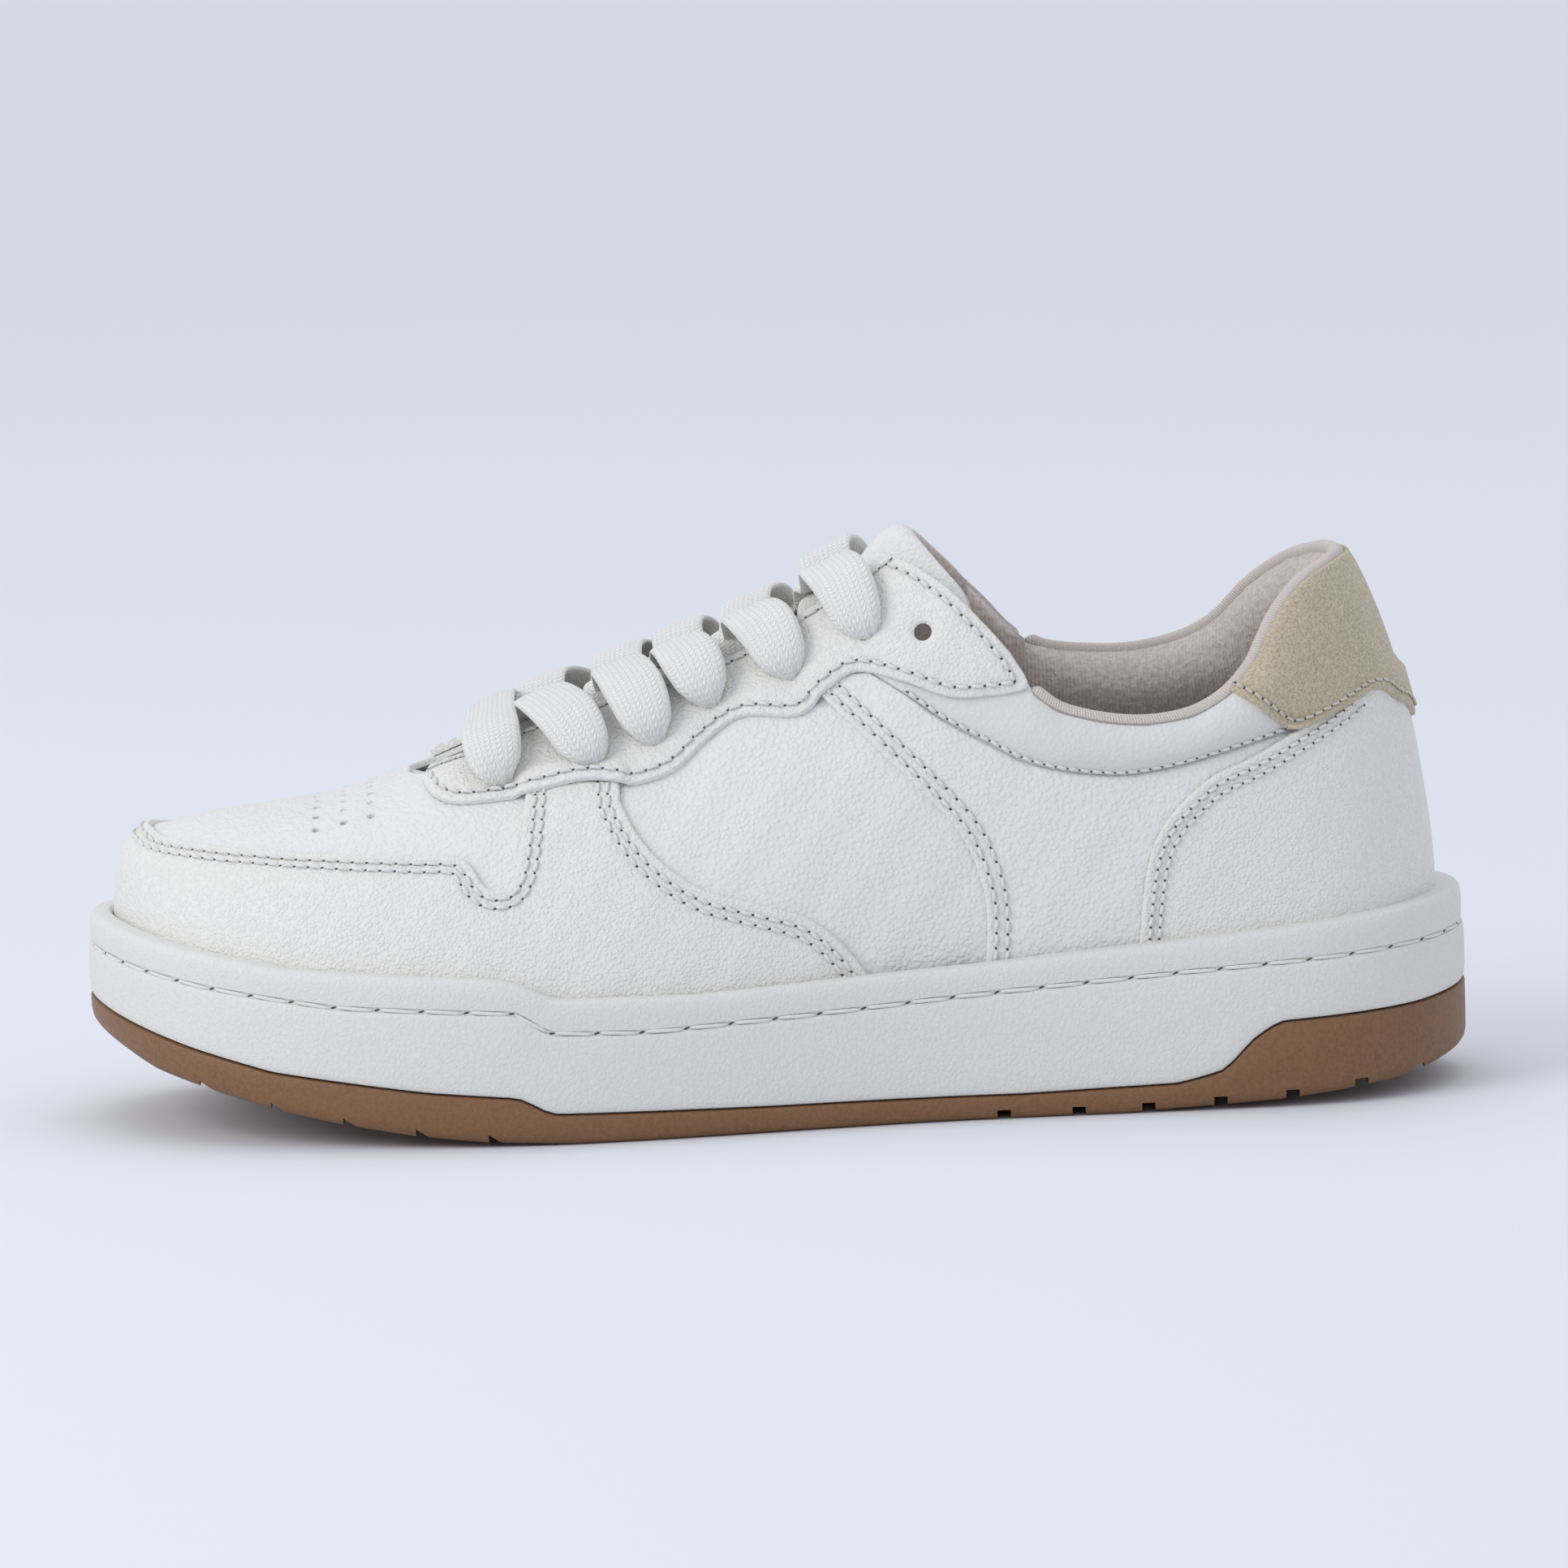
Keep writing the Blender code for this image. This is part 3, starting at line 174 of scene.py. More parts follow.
# Studio, in metres, watts and degrees. Each light has its place, size, power and colour.
CAMERA_AIM = (0.0027, 0.0, 0.0614)
CAMERA_AWAY = 2.1
CAMERA_RISE = 8
CAMERA_ROLL = -2
CAMERA_LENS = 246
FLOOR_REACH = 12.0
SKY = (0.716, 0.738, 0.80)
SKY_STRENGTH = 0.98
LIGHTS_AIM = (0, 0, 0.05)
LIGHTS = {"key": ((-1.4, -0.85, 1.1), 1.0, 12.5, (1, 0.99, 0.97)),
          "fill": ((1.3, -1.4, 1.0), 1.6, 0.3, (1, 1, 1)),
          "top": ((0.0, 0.5, 1.9), 1.2, 4, (1, 1, 1))}


# ---------------------------------------------------------------- curves and the last
def smoothstep(low, high, value):
    """0 below low, 1 above high and smooth between them."""
    share = np.clip((np.asarray(value, float) - low) / (high - low), 0.0, 1.0)
    return share * share * (3 - 2 * share)


def smooth(points, per_span=6):
    """Catmull-Rom curve through an open list of points."""
    pts = np.array(points, float)
    ends = np.vstack([2 * pts[0] - pts[1], pts, 2 * pts[-1] - pts[-2]])
    out = []
    for i in range(len(pts) - 1):
        a, b, c, d = ends[i:i + 4]
        for t in np.arange(per_span) / per_span:
            out.append(0.5 * (2 * b + (c - a) * t + (2 * a - 5 * b + 4 * c - d) * t ** 2
                              + (3 * b - a - 3 * c + d) * t ** 3))
    out.append(pts[-1])
    return np.array(out)


def walked(points):
    """Length along a line at each of its points."""
    return np.concatenate([[0.0], np.cumsum(np.linalg.norm(np.diff(points, axis=0), axis=1))])


def ring_of(lateral, medial):
    """The keys of both sides as one closed ring."""
    return np.array(list(lateral) + list(medial[-2:0:-1]), float)


class RingSpline:
    """Closed cubic spline over evenly spaced keys, for one ring position or an array of them."""

    def __init__(self, values):
        self.values = np.array(values, float)
        self.count = len(self.values)
        eye = np.eye(self.count)
        system = 4 * eye + np.roll(eye, 1, 0) + np.roll(eye, -1, 0)
        rise = 3 * (np.roll(self.values, -1, 0) - np.roll(self.values, 1, 0))
        self.slopes = np.linalg.solve(system, rise)

    def __call__(self, ring):
        ring = np.asarray(ring, float) % self.count
        start = np.floor(ring).astype(int) % self.count
        end = (start + 1) % self.count
        t = (ring - np.floor(ring))[..., None]
        a, b, u, w = self.values[start], self.values[end], self.slopes[start], self.slopes[end]
        return a + u * t + (3 * (b - a) - 2 * u - w) * t ** 2 + (2 * (a - b) + u + w) * t ** 3


OUTLINE = RingSpline(ring_of(OUTLINE_LATERAL, OUTLINE_MEDIAL))
LOW_KEYS = list(zip(FEATHER_INSET, LOW_INSET, LOW_HEIGHT))
LOW = RingSpline(ring_of(LOW_KEYS, LOW_KEYS))
HIGH = RingSpline(ring_of(HIGH_LATERAL, HIGH_MEDIAL))
TOP_RING = RingSpline(ring_of(TOP, [(x, -y, z) for x, y, z in TOP]))


def along(table, x):
    """Height at x from a table of (x, z)."""
    keys = np.array(table, float)
    return np.interp(x, keys[:, 0], keys[:, 1])


def softened(table):
    """A height table with its corners rounded a little."""
    keys = np.array(table, float)
    x = np.linspace(keys[0, 0], keys[-1, 0], 541)
    z = np.interp(x, keys[:, 0], keys[:, 1])
    bell = np.exp(-np.linspace(-2, 2, 11) ** 2)
    padded = np.concatenate([2 * z[0] - z[5:0:-1], z, 2 * z[-1] - z[-2:-7:-1]])
    return np.stack([x, np.convolve(padded, bell / bell.sum(), "valid")], 1)


SOFT_RIM = softened(RIM)
SOFT_GROOVE = softened(SIDE_GROOVE)
SOFT_GUM = softened(GUM_TOP)
SOFT_TREAD = softened(TREAD)


def inset(ring, distance):
    """Points in plan, a distance in from the sole outline."""
    ring = np.asarray(ring, float)
    run = OUTLINE(ring + 0.02) - OUTLINE(ring - 0.02)
    run = run / np.linalg.norm(run, axis=-1, keepdims=True)
    across = np.stack([run[..., 1], -run[..., 0]], axis=-1)
    return OUTLINE(ring) + across * np.asarray(distance, float)[..., None]


def bed_height(x):
    """Top of the midsole foam."""
    return along(TREAD, x) + along(BED_DEPTH, x)


def top_point(ring):
    """The last's highest point at a ring position, never past the middle of the shoe."""
    ring = np.asarray(ring, float)
    point = TOP_RING(ring)
    lateral = ring % WHOLE_RING <= LAST_STATION
    y = np.where(lateral, np.minimum(point[..., 1], 0.0), np.maximum(point[..., 1], 0.0))
    return np.stack([point[..., 0], y, point[..., 2]], axis=-1)


def last_surface(ring, row):
    """The last: a cubic from the sole through the low and high keys to the top."""
    ring, row = np.broadcast_arrays(np.asarray(ring, float), np.asarray(row, float))
    keys = LOW(ring)
    feet = bed_height(inset(ring, FOAM_INSET)[..., 0]) + FEATHER_RISE
    base = np.concatenate([inset(ring, keys[..., 0]), feet[..., None]], axis=-1)
    low = np.concatenate([inset(ring, keys[..., 1]), keys[..., 2:3]], axis=-1)
    t = row[..., None]
    return ((1 - t) ** 3 * base + 3 * t * (1 - t) ** 2 * low
            + 3 * t * t * (1 - t) * HIGH(ring) + t ** 3 * top_point(ring))


def unit(vectors):
    return vectors / np.maximum(np.linalg.norm(vectors, axis=-1, keepdims=True), 1e-9)


def last_normal(ring, row):
    """Outward normals. On the ridge of the forefoot they turn into the plane Y = 0."""
    ring, row = np.broadcast_arrays(np.asarray(ring, float), np.asarray(row, float))
    across = last_surface(ring + 0.05, row) - last_surface(ring - 0.05, row)
    up = last_surface(ring, np.minimum(row + 0.03, 1)) - last_surface(ring, np.maximum(row - 0.03, 0))
    normal = unit(np.cross(up, across))
    station = np.minimum(ring % WHOLE_RING, WHOLE_RING - ring % WHOLE_RING)
    run = top_point(station - 0.3) - top_point(np.minimum(station + 0.3, LAST_STATION))
    ridge = unit(np.stack([-run[..., 2], 0 * run[..., 1], run[..., 0]], axis=-1))
    share = smoothstep(0.84, 1.0, row) * (1 - smoothstep(0, 20, top_point(ring)[..., 0]))
    return unit(normal * (1 - share[..., None]) + ridge * share[..., None])


def offset_point(ring, row, distance):
    return last_surface(ring, row) + last_normal(ring, row) * distance


def side_ring(station, side):
    return station if side == "lateral" else WHOLE_RING - station


SEARCH_STATIONS, SEARCH_ROWS = np.meshgrid(np.linspace(0, LAST_STATION, 221), np.linspace(0.02, 1, 99))


def find_places(points, side, axes=(0, 2)):
    """Stations and rows of the surface points with these two coordinates, and how far off they are."""
    goal = np.array(points, float)
    grid = last_surface(side_ring(SEARCH_STATIONS, side), SEARCH_ROWS)[..., list(axes)].reshape(-1, 2)
    nearest = [int(np.argmin(((grid - p) ** 2).sum(1))) for p in goal]
    station = SEARCH_STATIONS.ravel()[nearest]
    row = SEARCH_ROWS.ravel()[nearest]

    def seen(s, r):
        return last_surface(side_ring(s, side), r)[..., list(axes)]

    for _ in range(12):
        miss = goal - seen(station, row)
        ds = (seen(station + 0.01, row) - seen(station - 0.01, row)) / 0.02
        dr = (seen(station, row + 0.004) - seen(station, row - 0.004)) / 0.008
        det = ds[:, 0] * dr[:, 1] - dr[:, 0] * ds[:, 1]
        det = np.where(abs(det) < 1e-6, 1e-6, det)
        step_s = np.clip((miss[:, 0] * dr[:, 1] - dr[:, 0] * miss[:, 1]) / det, -0.2, 0.2)
        step_r = np.clip((ds[:, 0] * miss[:, 1] - miss[:, 0] * ds[:, 1]) / det, -0.05, 0.05)
        station = np.clip(station + 0.8 * step_s, 0, LAST_STATION)
        row = np.clip(row + 0.8 * step_r, 0.0, 1.0)
    off = np.linalg.norm(goal - seen(station, row), axis=1)
    return station, row, off


def throat_half(x):
    """Half the width of the opening between the eyestays."""
    low, high = THROAT_HALF_WIDTHS
    return low + (high - low) * (np.asarray(x, float) + 66) / 126


# ---------------------------------------------------------------- the flat pattern
ROLL_KEYS = np.linspace(-LAST_STATION, 3 * LAST_STATION, 1761)
ROLL_LENGTHS = walked(last_surface(ROLL_KEYS, 0.5))
ROW_LENGTH = 70.0


def unroll(params):
    """Ring and row as millimetres on a flat pattern."""
    return np.stack([np.interp(params[:, 0], ROLL_KEYS, ROLL_LENGTHS), params[:, 1] * ROW_LENGTH], 1)


def roll_up(flat):
    """The flat pattern back to ring and row."""
    return np.stack([np.interp(flat[:, 0], ROLL_LENGTHS, ROLL_KEYS), flat[:, 1] / ROW_LENGTH], 1)


def ring_row(params, hoop):
    """On a hoop pattern the second number goes on over the ridge: 0 to 1 lateral, 1 to 2 medial."""
    u, v = params[..., 0], params[..., 1]
    if not hoop:
        return u, v
    return np.where(v > 1, WHOLE_RING - u, u), np.where(v > 1, 2 - v, v)


def on_last(params, hoop):
    """Places on the last of points on a pattern."""
    return last_surface(*ring_row(params, hoop))


def slopes(params, hoop):
    """How far the place moves for a unit of each pattern number."""
    du = (on_last(params + [0.01, 0], hoop) - on_last(params - [0.01, 0], hoop)) / 0.02
    dv = (on_last(params + [0, 0.004], hoop) - on_last(params - [0, 0.004], hoop)) / 0.008
    return du, dv


class Spots:
    """Places on the last, with their normals and their distance from the panel's edge."""

    def __init__(self, params, hoop, edge=None):
        self.ring, self.row = ring_row(params, hoop)
        self.place = last_surface(self.ring, self.row)
        self.normal = last_normal(self.ring, self.row)
        self.x, self.y, self.z = self.place.T
        self.edge = np.full(len(params), 5.0) if edge is None else edge

    def lifted(self, height):
        return self.place + self.normal * np.asarray(height)[:, None]


def resample(params, hoop, step, closed=True):
    """Subdivide a line on the pattern so that its points are about a step apart."""
    params = np.array(params, float)
    following = np.vstack([params[1:], params[:1]]) if closed else params[1:]
    out = []
    for a, b in zip(params, following):
        ends = on_last(np.array([a, b]), hoop)
        count = max(1, int(math.ceil(np.linalg.norm(ends[1] - ends[0]) / step)))
        out += [a + (b - a) * share for share in np.arange(count) / count]
    return np.array(out if closed else out + [params[-1]])


def shift(params, hoop, distance, turn, closed):
    """Move a line sideways over the surface by a distance. turn is 1 for its left on the pattern."""
    here = on_last(params, hoop)
    run = np.roll(here, -1, 0) - np.roll(here, 1, 0) if closed else np.gradient(here, axis=0)
    side = unit(np.cross(run, last_normal(*ring_row(params, hoop)))) * turn
    du, dv = slopes(params, hoop)
    uu, uv, vv = (du * du).sum(1), (du * dv).sum(1), (dv * dv).sum(1)
    su, sv = (side * du).sum(1), (side * dv).sum(1)
    det = np.maximum(uu * vv - uv * uv, 1e-6)
    return params + np.stack([(su * vv - sv * uv) / det, (sv * uu - su * uv) / det], 1) * distance


def tree_of(points):
    """A search tree of points."""
    tree = kdtree.KDTree(len(points))
    for i, p in enumerate(points):
        tree.insert(p, i)
    tree.balance()
    return tree


def distances(tree, points):
    return np.array([tree.find(p)[2] for p in points])


def inside(polygon, points):
    """Which points lie in a polygon, by counting crossings."""
    px, py = points[:, 0], points[:, 1]
    result = np.zeros(len(points), bool)
    for (ax, ay), (bx, by) in zip(polygon, np.roll(polygon, -1, 0)):
        if ay == by:
            continue
        crosses = (ay > py) != (by > py)
        result ^= crosses & (px < (bx - ax) * (py - ay) / (by - ay) + ax)
    return result


def depth_inside(polygon, x, z):
    """How far inside a side-view outline points lie, negative outside."""
    polygon = np.array(polygon, float)
    points = np.stack([x, z], 1)
    nearest = np.full(len(points), 1e9)
    for a, b in zip(polygon, np.roll(polygon, -1, 0)):
        run = b - a
        share = np.clip(((points - a) @ run) / max(run @ run, 1e-9), 0, 1)
        nearest = np.minimum(nearest, np.linalg.norm(points - a - share[:, None] * run, axis=1))
    return np.where(inside(polygon, points), nearest, -nearest)


def area_sign(flat):
    x, y = flat.T
    return 1.0 if (x * np.roll(y, -1) - y * np.roll(x, -1)).sum() > 0 else -1.0


# ---------------------------------------------------------------- meshes
def mesh_object(name, points, faces, finish, body="shoe", slot=None, replaces=(), sharp=None):
    """A smooth mesh piece from millimetre points that rides on a CAD body."""
    mesh = bpy.data.meshes.new(name)
    mesh.from_pydata([tuple(p) for p in np.asarray(points, float) * MM], [], [tuple(f) for f in faces])
    mesh.validate()
    mesh.materials.append(FINISH[finish])
    mesh.shade_smooth()
    if sharp:
        mesh.set_sharp_from_angle(angle=math.radians(sharp))
    made = put(name, mesh)
    if body:
        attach(made, body)
    if replaces:
        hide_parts(*replaces)
    return made


def put(name, data):
    """A new object in the scene."""
    made = bpy.data.objects.new(name, data)
    bpy.context.scene.collection.objects.link(made)
    return made


def store_vectors(piece, name, values):
    """Keep a vector per vertex for the material, such as the run of a weave."""
    attribute = piece.data.attributes.new(name, "FLOAT_VECTOR", "POINT")
    attribute.data.foreach_set("vector", np.asarray(values, np.float32).ravel())


def closed_shell(front, back, faces):
    """Points and faces of a sheet with a front, a back and walls round its edges."""
    count = len(front)
    faces = np.array(faces)
    pairs = np.concatenate([faces[:, [0, 1]], faces[:, [1, 2]], faces[:, [2, 0]]])
    keys = pairs[:, 0].astype(np.int64) * count + pairs[:, 1]
    mirrored = pairs[:, 1].astype(np.int64) * count + pairs[:, 0]
    rim = pairs[~np.isin(keys, mirrored)]
    walls = [(b, a, a + count, b + count) for a, b in rim]
    every = [tuple(f) for f in faces] + [tuple(f[::-1] + count) for f in faces] + walls
    return np.vstack([front, back]), every


def circle_on_last(centre, radius, hoop, count=18):
    """A circle of pattern points round a place on the last."""
    around = np.linspace(0, 2 * math.pi, count, endpoint=False)
    centre = np.array([centre], float)
    scale_u, scale_v = [np.linalg.norm(slope) for slope in slopes(centre, hoop)]
    return centre + radius * np.stack([np.cos(around) / scale_u, np.sin(around) / scale_v], 1)


def ring_quads(count, sides, start=0):
    """Faces between neighbouring rings of a tube."""
    return [(start + i * sides + j, start + i * sides + (j + 1) % sides,
             start + (i + 1) * sides + (j + 1) % sides, start + (i + 1) * sides + j)
            for i in range(count - 1) for j in range(sides)]


def tube_faces(count, sides):
    ends = [tuple(range(sides))[::-1], tuple(range((count - 1) * sides, count * sides))]
    return ring_quads(count, sides) + ends


def edge_levels(rows, seams):
    """Distances from the edge at which the mesh has rows of points, closer together at a seam."""
    levels = set(rows)
    for _, distance, _ in seams:
        levels |= {distance + d for d in (-0.7, -0.35, 0.0, 0.35, 0.7) if distance + d > 0.3}
    levels = sorted(levels)
    return [d for i, d in enumerate(levels) if i == 0 or d - levels[i - 1] > 0.11]


def fill_points(loop, hoop, turn, levels, grid, edge_tree):
    """Pattern points within a loop: rows that follow its edge, then a staggered grid."""
    flat_loop = unroll(loop)
    found = []
    for distance in levels:
        line = shift(loop, hoop, distance, turn, True)
        away = distances(edge_tree, on_last(line, hoop))
        found.append(line[(away > EDGE_KEEP * distance) & inside(flat_loop, unroll(line))])
    low, high = flat_loop.min(0), flat_loop.max(0)
    up = np.arange(low[1], high[1], grid * 0.87)
    mesh_x, mesh_y = np.meshgrid(np.arange(low[0], high[0], grid), up)
    mesh_x = mesh_x + 0.5 * grid * (np.arange(len(up)) % 2)[:, None]
    flat = np.stack([mesh_x.ravel(), mesh_y.ravel()], 1)
    middle = roll_up(flat[inside(flat_loop, flat)])
    found.append(middle[distances(edge_tree, on_last(middle, hoop)) > levels[-1] + 0.6 * grid])
    return np.vstack(found)


def triangles(loops, points):
    """Pattern points and triangles within the first loop and outside the others."""
    coords = np.vstack([unroll(part) for part in loops + [points]])
    edges, start = [], 0
    for part in loops:
        edges += [(start + i, start + (i + 1) % len(part)) for i in range(len(part))]
        start += len(part)
    verts, _, faces, *_ = delaunay_2d_cdt([Vector(c) for c in coords], edges, [], 0, 1e-5, False)
    flat = np.array([tuple(v) for v in verts])
    faces = np.array([tuple(f) for f in faces if len(f) == 3])
    centres = flat[faces].mean(1)
    keep = inside(unroll(loops[0]), centres)
    for part in loops[1:]:
        keep &= ~inside(unroll(part), centres)
    used, faces = np.unique(faces[keep][:, ::-1], return_inverse=True)
    return roll_up(flat[used]), faces.reshape(-1, 3)


def panel(name, loop, outer, inner, finish, slot, replaces, hoop=False, rows=EDGE_ROWS, holes=(),
          seams=(), grid=GRID, rounding=EDGE_ROUNDING, thread=("thread", 1.0)):
    """A cut panel on the last: a fine closed sheet between two height functions.

    holes are (pattern point, radius); seams are (line on the pattern, distance in, pitch), with
    each line in the loop's own direction. The piece and its rows of stitches are made together.
    """
    loop = resample(loop, hoop, EDGE_STEP)
    turn = area_sign(unroll(loop))
    edge_tree = tree_of(on_last(resample(loop, hoop, 0.3), hoop))
    points = fill_points(loop, hoop, turn, edge_levels(rows, seams), grid, edge_tree)
    centres = [on_last(np.array([centre]), hoop) for centre, _ in holes]
    for middle, (_, radius) in zip(centres, holes):
        points = points[np.linalg.norm(on_last(points, hoop) - middle, axis=1) > HOLE_CLEAR * radius]
    loops = [loop]
    for centre, radius in holes:
        loops.append(circle_on_last(centre, radius, hoop))
        points = np.vstack([points, circle_on_last(centre, HOLE_RING * radius, hoop)])
    params, faces = triangles(loops, points)
    spots = Spots(params, hoop, distances(edge_tree, on_last(params, hoop)))
    for middle, (_, radius) in zip(centres, holes):
        from_hole = np.maximum(np.linalg.norm(spots.place - middle, axis=1) - radius, 0)
        spots.edge = np.minimum(spots.edge, from_hole)
    share = np.clip(1 - spots.edge / rounding, 0, 1)
    height = outer(spots) - rounding * (1 - np.sqrt(np.maximum(1 - share ** 2, 0)))
    seam_lines = [stitch_line(line, hoop, distance, turn) for line, distance, _ in seams]
    if seams:
        gone = distances(tree_of(np.vstack([on_last(line, hoop) for line in seam_lines])), spots.place)
        height = height - GROOVE_DEPTH * np.exp(-(gone / GROOVE_WIDTH) ** 2)
    shell = closed_shell(spots.lifted(height), spots.lifted(inner(spots)), faces)
    made = mesh_object(name, *shell, finish, slot=slot, replaces=replaces, sharp=SHARP_LEATHER)
    store_vectors(made, "strand", np.tile(np.column_stack([unroll(params), np.zeros(len(params))]), (2, 1)))
    if seams:
        runs = []
        for line, (_, _, pitch) in zip(seam_lines, seams):
            at = Spots(line, hoop)
            runs.append((at.lifted(outer(at) - GROOVE_DEPTH), at.normal, pitch))
        stitches(name, runs, *thread)
    return made


def skin(node, loop, outer, finish, inner=None, slot=None, **cut):
    """The panel that stands for a CAD node, a leather thickness deep unless inner says otherwise."""
    panel(node + "_skin", loop, outer, inner or under(outer), finish, slot or finish, (node,), **cut)


# ---------------------------------------------------------------- thread
def stitch_line(line, hoop, distance, turn):
    """The line of needle holes, a distance in from an edge."""
    line = resample(line, hoop, 0.4, closed=False)
    moved = shift(line, hoop, distance, turn, False)
    away = distances(tree_of(on_last(line, hoop)), on_last(moved, hoop))
    return moved[away > SEAM_KEEP * distance]


def spaced(points, normals, pitch):
    """Evenly spaced places along a line, with their normals."""
    lengths = walked(points)
    at = np.linspace(0, lengths[-1], max(2, int(round(lengths[-1] / pitch)) + 1))
    place, normal = [np.stack([np.interp(at, lengths, values[:, k]) for k in range(3)], 1)
                     for values in (points, normals)]
    return place, unit(normal)


THREAD_SHARES = np.array([0.0, 0.07, 0.2, 0.5, 0.8, 0.93, 1.0])
THREAD_LIFTS = np.array([-0.3, 0.12, 0.34, 0.4, 0.34, 0.12, -0.3])
THREAD_RADII = np.array([0.18, 0.32, 0.37, 0.38, 0.37, 0.32, 0.18])
THREAD_SIDES = 7
THREAD_SLANT = 0.12


def thread_runs(runs, scale):
    """Meshes of stitches between neighbouring needle holes."""
    points, faces = [], []
    turn = np.linspace(0, 2 * math.pi, THREAD_SIDES, endpoint=False)
    for place, normal in runs:
        for a, b, n in zip(place[:-1], place[1:], normal):
            run = b - a
            if np.linalg.norm(run) < 0.4:
                continue
            side = unit(np.cross(run, n))
            middle = (a + run * (0.06 + 0.88 * THREAD_SHARES[:, None]) + n * THREAD_LIFTS[:, None] * scale
                      + side * (THREAD_SLANT * (2 * THREAD_SHARES - 1))[:, None])
            faces += ring_quads(len(THREAD_SHARES), THREAD_SIDES, len(points) * THREAD_SIDES)
            for centre, radius in zip(middle, THREAD_RADII * scale):
                points.append(centre + radius * (np.cos(turn)[:, None] * side + np.sin(turn)[:, None] * n))
    return np.vstack(points), faces


def painted_hole_shade(runs, radius, length=1.7, width=0.75):
    """Small dark dished discs at the ends of the stitches, painted shade of the needle holes."""
    points, faces = [], []
    turn = np.linspace(0, 2 * math.pi, 8, endpoint=False)
    for place, normal in runs:
        run = np.gradient(place, axis=0)
        for p, n, r in zip(place, normal, run):
            along_line = unit(r - n * (r @ n))
            along_line = unit(along_line + 0.35 * np.cross(n, along_line))
            side = np.cross(n, along_line)
            start = len(points)
            ring = p + n * 0.07 + radius * (np.cos(turn)[:, None] * along_line * length
                                            + np.sin(turn)[:, None] * side * width)
            points += list(ring) + [p + n * 0.1]
            faces += [(start + i, start + (i + 1) % 8, start + 8) for i in range(8)]
    return np.array(points), faces


def stitches(name, seams, thread="thread", scale=1.0, radius=0.3, length=1.7):
    runs = [spaced(place, normal, pitch) for place, normal, pitch in seams]
    mesh_object("thread_" + name, *thread_runs(runs, scale), thread)
    mesh_object("painted_hole_shade_" + name, *painted_hole_shade(runs, radius, length), "hole")


# ---------------------------------------------------------------- materials
class Shader:
    """A Principled material with short calls for its nodes."""

    def __init__(self, name, colour, roughness, **main):
        self.material = bpy.data.materials.new(name)
        self.material.use_nodes = True
        self.tree = self.material.node_tree
        self.main = self.tree.nodes["Principled BSDF"]
        self.main.inputs["Base Color"].default_value = (*colour, 1)
        self.main.inputs["Roughness"].default_value = roughness
        for key, value in main.items():
            self.main.inputs[key.replace("_", " ")].default_value = value
        self.colour = colour
        self.place = self.node("ShaderNodeTexCoord").outputs["Object"]

    def node(self, kind, inputs=None, **settings):
        """A new node. inputs gives each socket a value, or the output that is linked to it."""
        made = self.tree.nodes.new(kind)
        for key, value in settings.items():
            setattr(made, key, value)
        for key, value in (inputs or {}).items():
            if isinstance(value, (int, float, tuple)):
                made.inputs[key].default_value = value
            else:
                self.tree.links.new(value, made.inputs[key])
        return made

    def paint_with(self, output, socket):
        self.tree.links.new(output, self.main.inputs[socket])

    def noise(self, scale, detail=2.0, output="Fac"):
        made = self.node("ShaderNodeTexNoise", {"Scale": scale, "Detail": detail, "Vector": self.place})
        return made.outputs[output]

    def warped(self, scale, amount):
        """Object coordinates pushed about by noise, so that cells are uneven."""
        push = {0: self.noise(scale, output="Color"), 1: (amount, amount, amount), 2: self.place}
        return self.node("ShaderNodeVectorMath", push, operation="MULTIPLY_ADD").outputs[0]

    def cells(self, scale, where, feature="DISTANCE_TO_EDGE"):
        made = self.node("ShaderNodeTexVoronoi", {"Scale": scale, "Vector": where}, feature=feature)
        return made.outputs["Distance"]

    def spread(self, value, low, high, to_low=0.0, to_high=1.0):
        made = self.node("ShaderNodeMapRange", {"Value": value, "From Min": low, "From Max": high,
                                                "To Min": to_low, "To Max": to_high},
                         interpolation_type="SMOOTHSTEP")
        return made.outputs["Result"]

    def math(self, operation, *values):
        return self.node("ShaderNodeMath", dict(enumerate(values)), operation=operation).outputs[0]

    def paint(self, factor, first, second):
        """Base colour between two colours."""
        made = self.node("ShaderNodeMix", {0: factor, 6: (*first, 1), 7: (*second, 1)}, data_type="RGBA")
        self.paint_with(made.outputs[2], "Base Color")

    def bump(self, height, strength, distance):
        """Add a bump of up to a distance in metres; later calls add to earlier ones."""
        made = self.node("ShaderNodeBump", {"Strength": strength, "Distance": distance, "Height": height})
        normal = self.main.inputs["Normal"]
        if normal.is_linked:
            self.tree.links.new(normal.links[0].from_socket, made.inputs["Normal"])
        self.paint_with(made.outputs["Normal"], "Normal")

    def roughen(self, value, low, high):
        self.paint_with(self.spread(value, 0.2, 0.8, low, high), "Roughness")


def shade(colour, factor):
    return tuple(c * factor for c in colour)


def leather(name, colour, cell, strength, roughness):
    """Grained leather: rows of small domes of uneven size, slow wrinkles and fine pores."""
    s = Shader(name, colour, roughness, Specular_IOR_Level=0.35)
    domes = s.cells(1 / (cell * MM), s.warped(0.6 / (cell * MM), 0.8 * cell * MM), "F1")
    s.bump(s.spread(domes, 0.15, 0.75, 1.0, 0.0), strength, 0.0002)
    s.bump(s.noise(0.3 / (cell * MM), 4), strength, 0.00035)
    s.bump(s.noise(3000), 0.4, 0.00005)
    patches = s.spread(s.noise(35, 3), 0.3, 0.7, 0.85, 1.0)
    tone = s.math("MULTIPLY", s.spread(domes, 0.4, 0.8, 1.0, 0.6), patches)
    s.paint(tone, shade(colour, 0.95), colour)
    s.roughen(s.noise(900), roughness - 0.05, roughness + 0.08)
    return s.material


